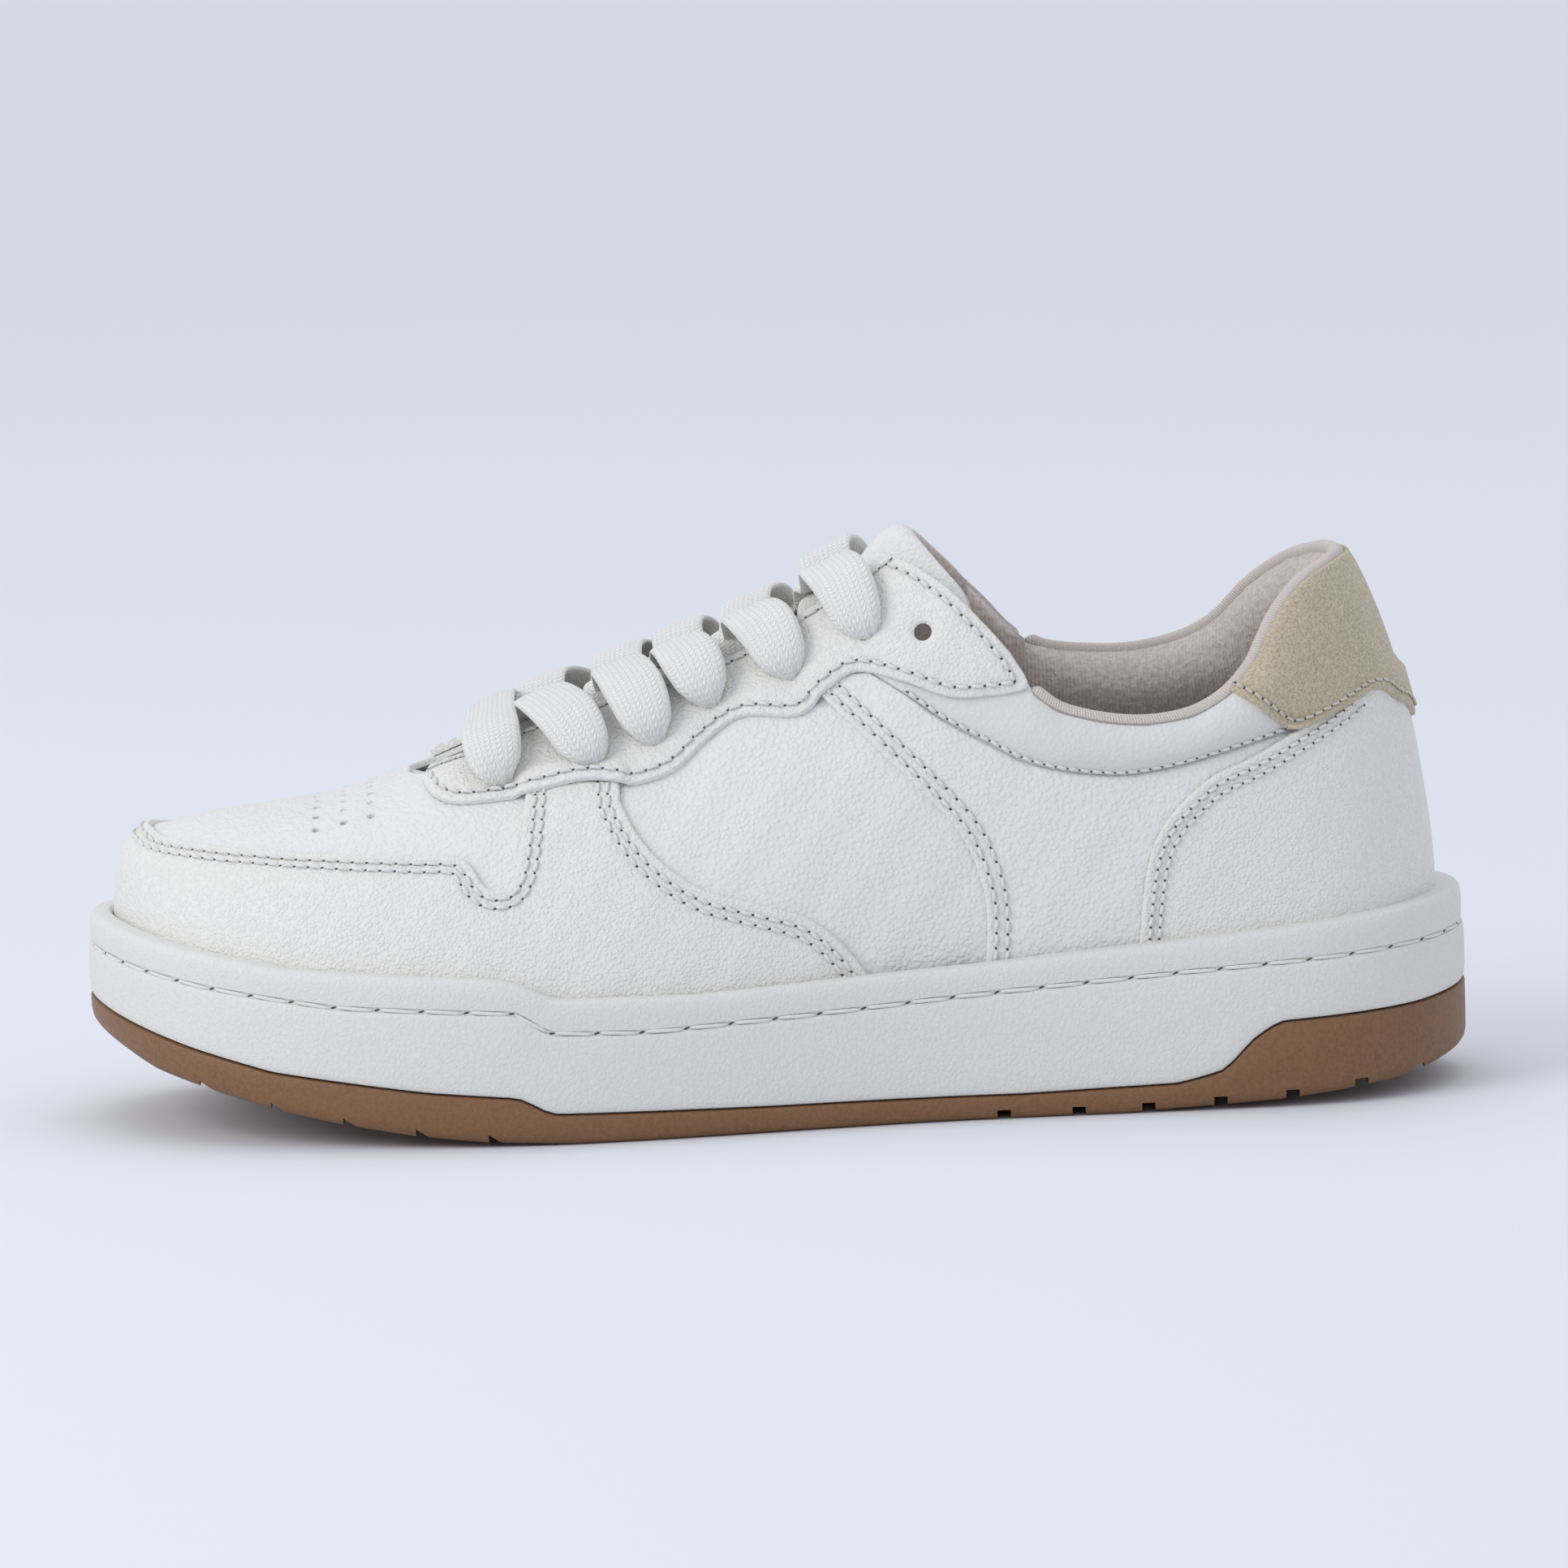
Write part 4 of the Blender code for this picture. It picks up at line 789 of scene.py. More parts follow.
def suede(name, colour):
    """Napped leather: short fibres over dense fine specks."""
    s = Shader(name, colour, 0.95, Sheen_Weight=0.25, Sheen_Roughness=0.6)
    nap = s.noise(1700, 4)
    specks = s.cells(1900, s.warped(900, 0.0006), "F1")
    tone = s.math("MULTIPLY", s.spread(specks, 0.12, 0.5, 0.25, 1.0), s.spread(nap, 0.25, 0.7, 0.4, 1.0))
    s.paint(tone, shade(colour, 0.52), colour)
    s.bump(nap, 0.9, 0.0003)
    s.bump(specks, 0.5, 0.0002)
    return s.material


def fleece(name, colour):
    """Brushed knit: faint ribs under fluff."""
    s = Shader(name, colour, 1.0, Sheen_Weight=0.35, Sheen_Roughness=0.5)
    fluff = s.noise(900, 5)
    run, _ = strands(s)
    ribs = s.math("SINE", s.math("MULTIPLY_ADD", run, 2 * math.pi / 0.8, s.math("MULTIPLY", fluff, 3.0)))
    tone = s.spread(s.math("MULTIPLY_ADD", ribs, 0.05, fluff), 0.3, 0.72)
    s.paint(tone, shade(colour, 0.8), shade(colour, 1.06))
    s.bump(ribs, 0.5, 0.00012)
    s.bump(fluff, 1.0, 0.0005)
    s.bump(s.noise(3200), 0.6, 0.0002)
    return s.material


def strands(s):
    """Along and across in millimetres from the piece's strand vectors."""
    attribute = s.node("ShaderNodeAttribute", attribute_name="strand")
    split = s.node("ShaderNodeSeparateXYZ", {0: attribute.outputs["Vector"]})
    return split.outputs[0], split.outputs[1]


def ribbed(name, colour, pitch):
    """Fine slanting ribs of a knit binding."""
    s = Shader(name, colour, 0.95, Sheen_Weight=0.25)
    run, around = strands(s)
    phase = s.math("MULTIPLY_ADD", run, 2 * math.pi / pitch, s.math("MULTIPLY", around, 1.6 / pitch))
    ribs = s.math("MULTIPLY_ADD", s.math("SINE", phase), 0.5, 0.5)
    s.paint(s.math("MULTIPLY_ADD", ribs, 0.7, s.math("MULTIPLY", s.noise(1500, 3), 0.35)),
            shade(colour, 0.78), shade(colour, 1.05))
    s.bump(ribs, 0.9, 0.00016)
    s.bump(s.noise(2600, 3), 0.5, 0.0002)
    return s.material


def herringbone(name, colour):
    """Woven cotton: columns of slanting threads that change direction."""
    s = Shader(name, colour, 0.85, Sheen_Weight=0.2)
    run, across = strands(s)
    fold = s.math("MULTIPLY", s.math("PINGPONG", across, 0.95), 2 * math.pi / 1.15)
    phase = s.math("MULTIPLY_ADD", run, 2 * math.pi / 0.95, fold)
    threads = s.math("MULTIPLY_ADD", s.math("SINE", phase), 0.5, 0.5)
    column = s.spread(s.math("PINGPONG", across, 0.475), 0.0, 0.12)
    weave = s.math("MULTIPLY", threads, column)
    s.paint(s.math("MULTIPLY_ADD", weave, 0.8, s.math("MULTIPLY", s.noise(900, 3), 0.3)),
            shade(colour, 0.84), colour)
    s.bump(weave, 0.8, 0.00022)
    s.bump(s.noise(4200), 0.5, 0.00008)
    return s.material


def rubber(name, colour, roughness, grain, strength, speck):
    """Fine-grained rubber with faint flecks."""
    s = Shader(name, colour, roughness)
    cells = s.cells(1 / (grain * MM), s.warped(0.6 / (grain * MM), grain * MM))
    s.bump(s.spread(cells, 0, 0.25), strength, 0.00009)
    s.bump(s.noise(3000), strength, 0.00004)
    fleck = s.spread(s.noise(1400, 4), 0.34, 0.62)
    tone = s.math("MULTIPLY", fleck, s.spread(s.noise(40), 0.2, 0.7, 0.75, 1.0))
    s.paint(tone, shade(colour, speck), colour)
    s.roughen(s.noise(600), roughness - 0.06, roughness + 0.06)
    return s.material


def plain(name, colour, roughness, grain=900, strength=0.4):
    s = Shader(name, colour, roughness)
    noise = s.noise(grain, 4)
    s.paint(s.spread(noise, 0.3, 0.7), shade(colour, 0.85), colour)
    s.bump(noise, strength, 0.0002)
    return s.material


FINISH = {
    "white_leather": leather("white_pebbled_leather", (0.785, 0.78, 0.76), 0.95, 0.75, 0.44),
    "warm_leather": leather("warm_fine_leather", (0.79, 0.778, 0.74), 0.7, 0.75, 0.42),
    # painted shade: the collar leather is the white leather darkened for the shade that falls on the collar; its
    # smoother grain is its own
    "collar_leather": leather("smooth_collar_leather_painted_shade", (0.715, 0.71, 0.69), 0.9, 0.4, 0.44),
    "suede": suede("tan_suede", (0.60, 0.515, 0.365)),
    "lining": fleece("beige_fleece", (0.64, 0.565, 0.51)),
    "binding": ribbed("ribbed_binding", (0.70, 0.64, 0.585), 0.55),
    "gum": rubber("gum_rubber", (0.222, 0.110, 0.046), 0.5, 0.9, 0.35, 0.82),
    "white_rubber": rubber("white_rubber", (0.725, 0.72, 0.69), 0.52, 1.2, 0.6, 0.96),
    "foam": plain("foam", (0.74, 0.72, 0.66), 0.95),
    "board": plain("pressed_board", (0.42, 0.34, 0.24), 0.85),
    "cotton": herringbone("woven_cotton", (0.86, 0.85, 0.815)),
    "thread": plain("white_thread", (0.83, 0.825, 0.80), 0.7, 5000, 0.7),
    "tan_thread": plain("tan_thread", (0.66, 0.61, 0.52), 0.8, 5000, 0.7),
    # painted shade: the dark colour of the needle holes
    "hole": plain("needle_hole", (0.085, 0.075, 0.06), 0.95),
    # painted shade: the dark colour inside the eyelet holes
    "dark": plain("eyelet_painted_shade", (0.13, 0.115, 0.10), 0.95),
    "tip": plain("clear_tip", (0.75, 0.75, 0.74), 0.25),
}


# ---------------------------------------------------------------- outlines on the pattern
def to_params(station, row, side, centre):
    """Pattern points of one side. centre is the ring position that the two sides share."""
    if side == "lateral":
        ring = station
    else:
        ring = WHOLE_RING - station if centre == LAST_STATION else -station
    return np.stack([ring, row], 1)


def side_line(points, side, centre=0, slack=0.6):
    """A side-view line on the pattern, without the points that miss the surface."""
    station, row, off = find_places(points, side)
    return to_params(station, row, side, centre)[off < slack]


def throat_line(first_x, last_x, side, centre=0, wider=0.0):
    """The edge of the throat from one x to another."""
    x = np.linspace(first_x, last_x, 24)
    y = (throat_half(x) + wider) * (-1 if side == "lateral" else 1)
    station, row, _ = find_places(np.stack([x, y], 1), side, (0, 1))
    return to_params(station, row, side, centre)


def row_line(first, last, row, count=24):
    """A line along the pattern at one row."""
    return np.stack([np.linspace(first, last, count), np.full(count, row)], 1)


def centre_crossing(ring, line):
    """Where a side-view line crosses the middle of the toe or the heel, as a pattern point."""
    rows = np.linspace(0.05, 1, 400)
    line = np.array(line, float)
    shares = np.linspace(0, 1, 30)[:, None]
    fine = np.vstack([a + (b - a) * shares for a, b in zip(line[:-1], line[1:])])
    spine = last_surface(ring, rows)[:, [0, 2]]
    near = distances(tree_of([(x, 0, z) for x, z in fine]), [(x, 0, z) for x, z in spine])
    return np.array([[ring, rows[int(np.argmin(near))]]])


TOE_POLYGON = ([(-150, LOW_Z), (-150, 60), (-124, 60)] + TOE_OVERLAY_TOP + [(-40, 68.5)] + TOE_OVERLAY_REAR
               + [(21, LOW_Z)])
REAR_POLYGON = [(40, LOW_Z)] + REAR_QUARTER_FRONT[::-1] + [(8, 140), (150, 140), (150, LOW_Z)]
HEEL_POLYGON = [(150, 79.4), (118, 79.4)] + HEEL_OVERLAY_FRONT + [(69, LOW_Z), (150, LOW_Z)]


def cover(polygon, spots, reach=2.6):
    """1 where a lower panel lies beneath, falling to 0 just outside its edge."""
    return smoothstep(-reach, 0.0, depth_inside(polygon, spots.x, spots.z))


def waves(spots, size=0.12):
    """Slow unevenness of stretched leather."""
    return size * (np.sin(0.21 * spots.x + 0.13 * spots.z) * np.sin(0.17 * spots.z - 0.09 * spots.y + 1)
                   + 0.6 * np.sin(0.47 * spots.x - 0.31 * spots.z + 2))


def collar_bulge(spots):
    """Padding behind the collar panel, between its seam and the top line."""
    seam = along(COLLAR_STITCH, spots.x)
    top = along(TOPLINE["lateral"], spots.x)
    share = np.clip((spots.z - seam) / np.maximum(top - seam, 4), 0, 1)
    swell = np.sin(math.pi * share ** 0.8)
    ends = smoothstep(30, 58, spots.x) * (1 - smoothstep(92, 112, spots.x))
    return COLLAR_BULGE * swell * ends


def base_height(spots):
    return waves(spots, 0.1)


def first_height(spots):
    return LAYER + waves(spots)


def collar_height(spots):
    crease = np.exp(-np.maximum(spots.z - along(COLLAR_STITCH, spots.x), 0) / 1.6)
    return LAYER + collar_bulge(spots) - crease * smoothstep(24, 40, spots.x) + 0.5 * waves(spots)


def rear_height(spots):
    crease = 0.8 * np.exp(-np.maximum(along(COLLAR_STITCH, spots.x) - spots.z, 0) / 1.6)
    return first_height(spots) - crease * smoothstep(24, 40, spots.x)


def eyestay_height(spots):
    beneath = np.maximum(cover(TOE_POLYGON, spots), cover(REAR_POLYGON, spots))
    return LAYER + LAYER * beneath + 0.35 * smoothstep(0, 3, spots.edge) + waves(spots, 0.2)


def heel_height(spots):
    return 2 * LAYER + 0.25 * smoothstep(0, 4, spots.edge) + 0.5 * waves(spots)


def tab_height(spots):
    beneath = cover(HEEL_POLYGON, spots)
    padding = collar_bulge(spots) * (1 - beneath)
    return 2 * LAYER + LAYER * beneath + padding + 0.3 * smoothstep(0, 4, spots.edge)


def under(height, thickness=LEATHER):
    """The back of a panel, a thickness below its face."""
    return lambda spots: height(spots) - thickness


# ---------------------------------------------------------------- pieces of the upper
def hoop_line(points, side, axes=(0, 2)):
    """A line on the vamp's hoop pattern, where the medial rows go on over the ridge."""
    station, row, _ = find_places(points, side, axes)
    return np.stack([station, row if side == "lateral" else 2 - row], 1)


def make_vamp():
    rear, throat = {}, {}
    for side in SIDES:
        rear[side] = hoop_line([(-33, 34), (-36, 42), (-40, 50), (-40, 60), (-40, 70)], side)
        x = np.array([-40, -50, -60, -66, -69, -70.6])
        y = np.array([*throat_half(x[:4]), 8.2, 3.8])
        throat[side] = hoop_line(np.stack([x, -y if side == "lateral" else y], 1), side, (0, 1))
    tip = float(LAST_STATION)
    loop = np.vstack([
        rear["lateral"], throat["lateral"], throat["medial"][::-1], rear["medial"][::-1],
        row_line(rear["medial"][0][0], LAST_STATION, 2 - BOTTOM_ROW),
        np.stack([np.full(40, tip), np.linspace(2 - BOTTOM_ROW, BOTTOM_ROW, 40)], 1)[1:-1],
        row_line(LAST_STATION, rear["lateral"][0][0], BOTTOM_ROW),
    ])
    holes = [(hoop_line([(x, y)], "lateral" if y <= 0 else "medial", (0, 1))[0], PERFORATION_RADIUS)
             for x in PERFORATION_X for y in PERFORATION_Y]
    skin("vamp", loop, base_height, "white_leather", hoop=True, holes=holes)


def make_toe_overlay():
    top = smooth(TOE_OVERLAY_TOP)
    rear = np.vstack([[(-29, 66.5)], smooth(TOE_OVERLAY_REAR[1:], 5)])
    centre = centre_crossing(LAST_STATION, [(-124, 60)] + TOE_OVERLAY_TOP[:2])
    tops = {side: side_line(top, side, LAST_STATION) for side in SIDES}
    rears = {side: side_line(rear, side, LAST_STATION) for side in SIDES}
    loop = np.vstack([
        centre, tops["lateral"], rears["lateral"],
        row_line(rears["lateral"][-1][0], rears["medial"][-1][0], BOTTOM_ROW, 120),
        rears["medial"][::-1], tops["medial"][::-1],
    ])
    upper_edge = np.vstack([tops["medial"][::-1], centre, tops["lateral"]])
    seams = [(upper_edge, 2.0, PITCH), (upper_edge, 3.7, PITCH)]
    seams += [(line, distance, PITCH) for distance in (2.3, 4.1)
              for line in (rears["lateral"], rears["medial"][::-1])]
    skin("toe_overlay", loop, first_height, "warm_leather", seams=seams)


def make_quarter(side):
    top = throat_line(-41, 26, side, wider=0.8)
    front = side_line([(-38, 60), (-37, 50), (-33, 40), (-31, 34)], side, slack=2)
    rear = side_line([(44, 34), (45, 50), (40, 70), (34, 82)], side, slack=2)
    bottom = row_line(front[-1][0], rear[0][0], BOTTOM_ROW)
    skin(f"quarter_{side}", np.vstack([top[::-1], front, bottom, rear]), quarter_height, "white_leather",
         rows=(0.4, 1.0, 2.0))


def quarter_height(spots):
    """A slight pillow in the middle of the side."""
    swell = smoothstep(-26, 0, spots.x) * (1 - smoothstep(18, 40, spots.x)) * smoothstep(30, 52, spots.z)
    return waves(spots, 0.16) + 0.5 * swell * (1 - smoothstep(64, 82, spots.z))


def make_rear_quarter(side):
    front = side_line(smooth(REAR_QUARTER_FRONT), side)
    seam = side_line(smooth(COLLAR_STITCH), side)
    bottom = row_line(front[-1][0], 0.9 if side == "lateral" else -0.9, BOTTOM_ROW)
    loop = np.vstack([front, bottom, [(bottom[-1][0], 0.55)], seam[::-1]])
    skin(f"rear_quarter_{side}", loop, rear_height, "white_leather", under(first_height),
         seams=[(front, 1.7, PITCH), (front, 3.9, PITCH)])


def make_collar_panel(side):
    seam = side_line(smooth(COLLAR_STITCH), side)
    top = side_line(smooth(TOPLINE[side]), side)
    end = centre_crossing(0, [(108, 73), (135, 73)])
    peak = centre_crossing(0, [(105, 102.4), (118, 102.4)])
    loop = np.vstack([seam, end, peak, top[::-1], behind_eyestay(side, 0.9, 0.5, 12)])
    # the collar leather's darker colour is painted shade
    skin(f"collar_panel_{side}", loop, collar_height, "collar_leather", under(first_height),
         seams=[(seam[6:], 0.7, FINE_PITCH)], rounding=0.8)


def make_eyestay(side):
    lower = side_line(smooth(EYESTAY_LOWER), side)
    corner = smooth([EYESTAY_LOWER[-1], EYESTAY_CORNER[side], EYESTAY_UPPER[0]], 5)[1:-1]
    upper, throat = round_eyestay(np.vstack([corner, smooth(EYESTAY_UPPER)]), side, 0.0, 0.4, -66)
    station, row, _ = find_places(EYELETS, side)
    places = to_params(station, row, side, 0)
    seams = [(np.vstack([lower, upper]), 2.0, PITCH), (throat, 2.0, PITCH)]
    skin(f"eyestay_{side}", np.vstack([lower, upper, throat]), eyestay_height, "warm_leather",
         seams=seams, holes=[(place, EYELET_RADIUS) for place in places])
    # dark discs at the bottom of each eyelet paint the shade inside the holes
    at = Spots(places, False)
    floors = at.lifted(eyestay_height(at) - LEATHER + 0.05)
    runs = [(np.vstack([p, p + [0.01, 0, 0]]), np.vstack([n, n])) for p, n in zip(floors, at.normal)]
    mesh_object(f"eyelet_painted_shade_discs_{side}", *painted_hole_shade(runs, EYELET_RADIUS * 1.25, 1, 1), "dark")


def round_eyestay(upper, side, wider, margin, last_x):
    """The top edge as far as it clears the throat, then the edge of the throat."""
    station, row, off = find_places(upper, side)
    seen = last_surface(side_ring(station, side), row)
    fits = (off < 1.5) & (abs(seen[:, 1]) > throat_half(seen[:, 0]) + margin)
    throat = throat_line(seen[fits][-1][0] - 0.8, last_x, side, wider=wider)
    return to_params(station, row, side, 0)[fits], throat


def make_heel():
    edge = np.vstack([[(112, 78.5)], smooth(HEEL_OVERLAY_FRONT)])
    fronts = [side_line(edge, side) for side in SIDES]
    loop = np.vstack([
        centre_crossing(0, [(105, 79), (135, 79)]), fronts[0],
        row_line(fronts[0][-1][0], fronts[1][-1][0], BOTTOM_ROW, 80), fronts[1][::-1],
    ])
    seams = [(line, distance, FINE_PITCH) for distance in (1.9, 3.7) for line in (fronts[0], fronts[1][::-1])]
    skin("heel_overlay", loop, heel_height, "warm_leather", seams=seams)

    lowers = [side_line(smooth(HEEL_TAB_LOWER, 4), side, slack=1.2) for side in SIDES]
    tops = [side_line(smooth(TOPLINE[side])[30:], side, slack=1.2) for side in SIDES]
    crest = centre_crossing(0, [(105, 103.2), (120, 103.2)])
    foot = centre_crossing(0, [(118, 70), (140, 70)])
    loop = np.vstack([foot, lowers[0][::-1], tops[0], crest, tops[1][::-1], lowers[1]])
    lower = np.vstack([lowers[1], foot, lowers[0][::-1]])
    skin("heel_tab", loop, tab_height, "suede", under(tab_height, 1.5), seams=[(lower, 1.7, TAB_PITCH)],
         rounding=0.7, thread=("tan_thread", 0.75))


def pad_depth(spots):
    """Extra depth of the collar padding, round the ankle only."""
    ankle = np.clip((spots.x - 40) / 22, 0, 1)
    height = np.clip((spots.z - along(COLLAR_STITCH, spots.x) + 2) / 13, 0, 1)
    return COLLAR_PAD * ankle * height * (2 - height)


PEAK = centre_crossing(0, [(105, 103.4), (120, 103.4)])[0]


def topline_round_heel(side):
    """The top line as far as it shows from the side, then level with the peak behind the heel."""
    station, row, _ = find_places(smooth(TOPLINE[side], 2), side)
    row, station = row[station > 1.1], station[station > 1.1]
    behind = np.linspace(1, 0, 5)[1:-1]
    rows = np.concatenate([row, PEAK[1] + (row[-1] - PEAK[1]) * behind])
    return np.concatenate([station, station[-1] * behind]), rows


def topline_tree():
    """The whole top line on the last, as points to measure from."""
    found = []
    for side in SIDES:
        station, row = [np.append(v, end) for v, end in zip(topline_round_heel(side), PEAK)]
        at, known = np.linspace(0, len(row) - 1, 500), np.arange(len(row))
        found.append(last_surface(side_ring(np.interp(at, known, station), side), np.interp(at, known, row)))
    return tree_of(np.vstack(found))


TOP_TREE = topline_tree()


def lining_face(spots):
    """Outer face of the lining: behind the padding, and rolled over to the binding at the top."""
    away = np.maximum(distances(TOP_TREE, spots.place) - 0.3, 0)
    share = np.clip(1 - away / COLLAR_ROLL, 0, 1)
    collar = smoothstep(48, 56, spots.x)
    roll = np.sqrt(np.maximum(1 - share ** 2, 0)) * collar + 1 - collar
    by_edge = np.sqrt(np.maximum(1 - np.clip(1 - spots.edge / 3.5, 0, 1) ** 2, 0))
    front = (1 - smoothstep(44, 52, spots.x)) * smoothstep(66, 74, spots.z)
    roll = roll * (1 - front + front * by_edge)
    deep = LINING_FACE - pad_depth(spots)
    return -0.35 + (deep + 0.35) * roll


def make_collar_padding():
    """The foam between the collar panels and their linings, in one piece round the heel."""
    tops = [side_line(smooth(TOPLINE[side])[3:] - [0, 2.2], side, slack=1.5) for side in SIDES]
    feet = [side_line(smooth(COLLAR_STITCH)[12:] - [0, 4.0], side) for side in SIDES]
    foam = panel("collar_padding", np.vstack([feet[1], feet[0][::-1], tops[0], tops[1][::-1]]),
                 lambda s: np.full(len(s.x), -0.15), lambda s: np.minimum(lining_face(s) + 0.3, -0.5),
                 "foam", "foam", ("collar_foam",), rows=(0.6, 1.6), grid=2.2, rounding=0.2)


def behind_eyestay(side, within, wider, last_x):
    """Just inside the eyestay's edge, from the collar over its top and down the throat."""
    upper = smooth(EYESTAY_UPPER)
    upper = upper + within * unit(np.array([26.0, 90.0]) - upper)
    return np.vstack(round_eyestay(upper, side, wider, wider + 0.3, last_x))


def make_lining(side):
    past = -0.12 if side == "lateral" else 0.12
    top = to_params(*topline_round_heel(side), side, 0)
    bottom = row_line(past, 6.0 if side == "lateral" else -6.0, 0.03, 40)
    front = np.vstack([side_line([(-2, 60), (-2, 71)], side), behind_eyestay(side, 0.4, 0.5, 1)[::-1]])
    skin(f"collar_lining_{side}", np.vstack([PEAK + [past, 0], bottom, front, top]), lining_face, "lining",
         under(lining_face, LINING), "knit_lining", rows=(0.5, 1.2, 2.2, 3.4), grid=1.8, rounding=0.4)


def make_binding():
    """Ribbed knit roll on the collar edge, from one eyestay round the heel to the other."""
    halves = []
    for side in SIDES:
        station, row = topline_round_heel(side)
        halves.append(offset_point(side_ring(station, side), row, 0.35))
    path = smooth(np.vstack([halves[0], offset_point(0.0, PEAK[1], 0.35)[None], halves[1][::-1]]), 8)
    tube("collar_binding_roll", path, BINDING_RADIUS, 20, "binding", "knit_binding", "collar_binding")


def tube(name, path, radius, sides, finish, slot, node):
    """A round bar along a path, with rounded ends and strand vectors."""
    run = unit(np.gradient(path, axis=0))
    length = walked(path)
    points, strand = [], []
    for i, at in enumerate(path):
        side = unit(np.cross(run[i], [0.0, 0.0, 1.0]))
        up = np.cross(side, run[i])
        ends = min(1.0, math.sqrt(max(min(length[i], length[-1] - length[i]) / 1.2, 0.05)))
        for angle in np.linspace(0, 2 * math.pi, sides, endpoint=False):
            points.append(at + radius * ends * (math.cos(angle) * side + math.sin(angle) * up))
            strand.append((length[i], angle * radius, 0))
    made = mesh_object(name, points, tube_faces(len(path), sides), finish, slot=slot, replaces=(node,))
    store_vectors(made, "strand", strand)


# ---------------------------------------------------------------- tongue
def tongue_grid(face):
    """One face of the padded tongue: face is 1 for the leather, -1 for the lining."""
    keys = smooth(TONGUE, 20)
    lengths = walked(keys[:, :2])
    at = lengths[-1] * (1 - (1 - np.linspace(0, 1, 90)) ** 1.7)
    keys = np.stack([np.interp(at, lengths, keys[:, k]) for k in range(4)], 1)
    run = unit(np.gradient(keys[:, :2], axis=0))
    length = walked(keys[:, :2])
    rows = []
    for (x, z, half, drop), (dx, dz), gone in zip(keys, run, length):
        left = length[-1] - gone
        narrow = 0.72 + 0.28 * math.sqrt(max(1 - (1 - min(left / 7.0, 1.0)) ** 2, 0))
        line = []
        for share in np.sin(np.linspace(-0.5, 0.5, 49) * math.pi):
            edge = min(half * narrow * (1 - abs(share)) * 1.15, left)
            puff = 0.5 * TONGUE_THICK * math.sqrt(max(1 - max(1 - edge / 4.2, 0) ** 2, 0))
            distance = -0.5 * TONGUE_THICK + face * puff - drop * (share * narrow) ** 2
            line.append((x - dz * distance, share * half * narrow, z + dx * distance))
        rows.append(line)
    return np.array(rows)


def grid_faces(height, width):
    """Quads between the rows of a grid of points."""
    corners = [i * width + j for i in range(height - 1) for j in range(width - 1)]
    return [(a, a + 1, a + 1 + width, a + width) for a in corners]


def make_tongue():
    front, back = tongue_grid(1), tongue_grid(-1)
    core = 0.5 * (front + back)
    height, width = front.shape[:2]
    count = height * width
    quads = grid_faces(height, width)
    loop = list(range(width)) + [i * width + width - 1 for i in range(1, height)]
    loop += [(height - 1) * width + j for j in range(width - 2, -1, -1)]
    loop += [i * width for i in range(height - 2, 0, -1)]
    faces = quads + [tuple(i + count for i in quad[::-1]) for quad in quads]
    faces += [(b, a, a + count, b + count) for a, b in zip(loop, loop[1:] + loop[:1])]
    for name, outer, inner, finish, slot, node in (
            ("tongue_leather_face", front, front * 0.8 + core * 0.2, "white_leather", "white_leather",
             "tongue_leather"),
            ("tongue_lining_face", back * 0.8 + core * 0.2, back, "lining", "knit_lining", "tongue_lining"),
            ("tongue_padding", front * 0.75 + core * 0.25, back * 0.75 + core * 0.25, "foam", "foam",
             "tongue_foam")):
        points = np.vstack([outer.reshape(-1, 3), inner.reshape(-1, 3)])
        made = mesh_object(name, points, faces, finish, body="tongue", slot=slot, replaces=(node,), sharp=SHARP_LEATHER)


ROOT_END = -56             # the sewn end of the tongue reaches this far back
ROOT_POINTS = 41


def make_tongue_root():
    """The sewn end of the tongue, from under the front of the throat to the padded part."""
    across = np.linspace(-19, 19, ROOT_POINTS)
    lengths = np.linspace(-84, ROOT_END, 40)
    keys = smooth(TONGUE, 7)
    rows = []
    for x in lengths:
        places = np.stack([np.full(ROOT_POINTS, x), -abs(across)], 1)
        station, row, _ = find_places(places, "lateral", (0, 1))
        under_vamp = last_surface(station, row)[:, 2] - 0.5
        on_tongue = np.interp(x, keys[:, 0], keys[:, 1]) + 0.4 - 3.6 * (across / 16.0) ** 2
        on_tongue = on_tongue + min(x - keys[0, 0], 0.0)
        share = smoothstep(-72, -60, x)
        rows.append(np.stack([places[:, 0], across, under_vamp * (1 - share) + on_tongue * share], 1))
    front = np.vstack(rows)
    faces = [half for a, b, c, d in grid_faces(len(lengths), ROOT_POINTS) for half in ((a, b, c), (a, c, d))]
    shell = closed_shell(front, front - [0, 0, 0.9], faces)
    root = mesh_object("tongue_root", *shell, "white_leather", body=None, slot="white_leather", sharp=SHARP_LEATHER)
    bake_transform(root)


# ---------------------------------------------------------------- lace
def edge_row(ring):
    """Row of the last surface just inside the edge of the throat."""
    rows = np.linspace(0.6, 1.0, 81)
    ys = abs(last_surface(ring, rows)[:, 1])
    return float(np.interp(-CROSSING_HALF, -ys, rows))


def lace_stop(ring, row, distance, kind):
    """A place on the lace's route, the way its width lies there and the kind of its section."""
    back = last_surface(ring + 0.15, row) - last_surface(ring - 0.15, row)
    if ring < LAST_STATION:
        back = -back
    return offset_point(ring, row, distance), unit(back), kind


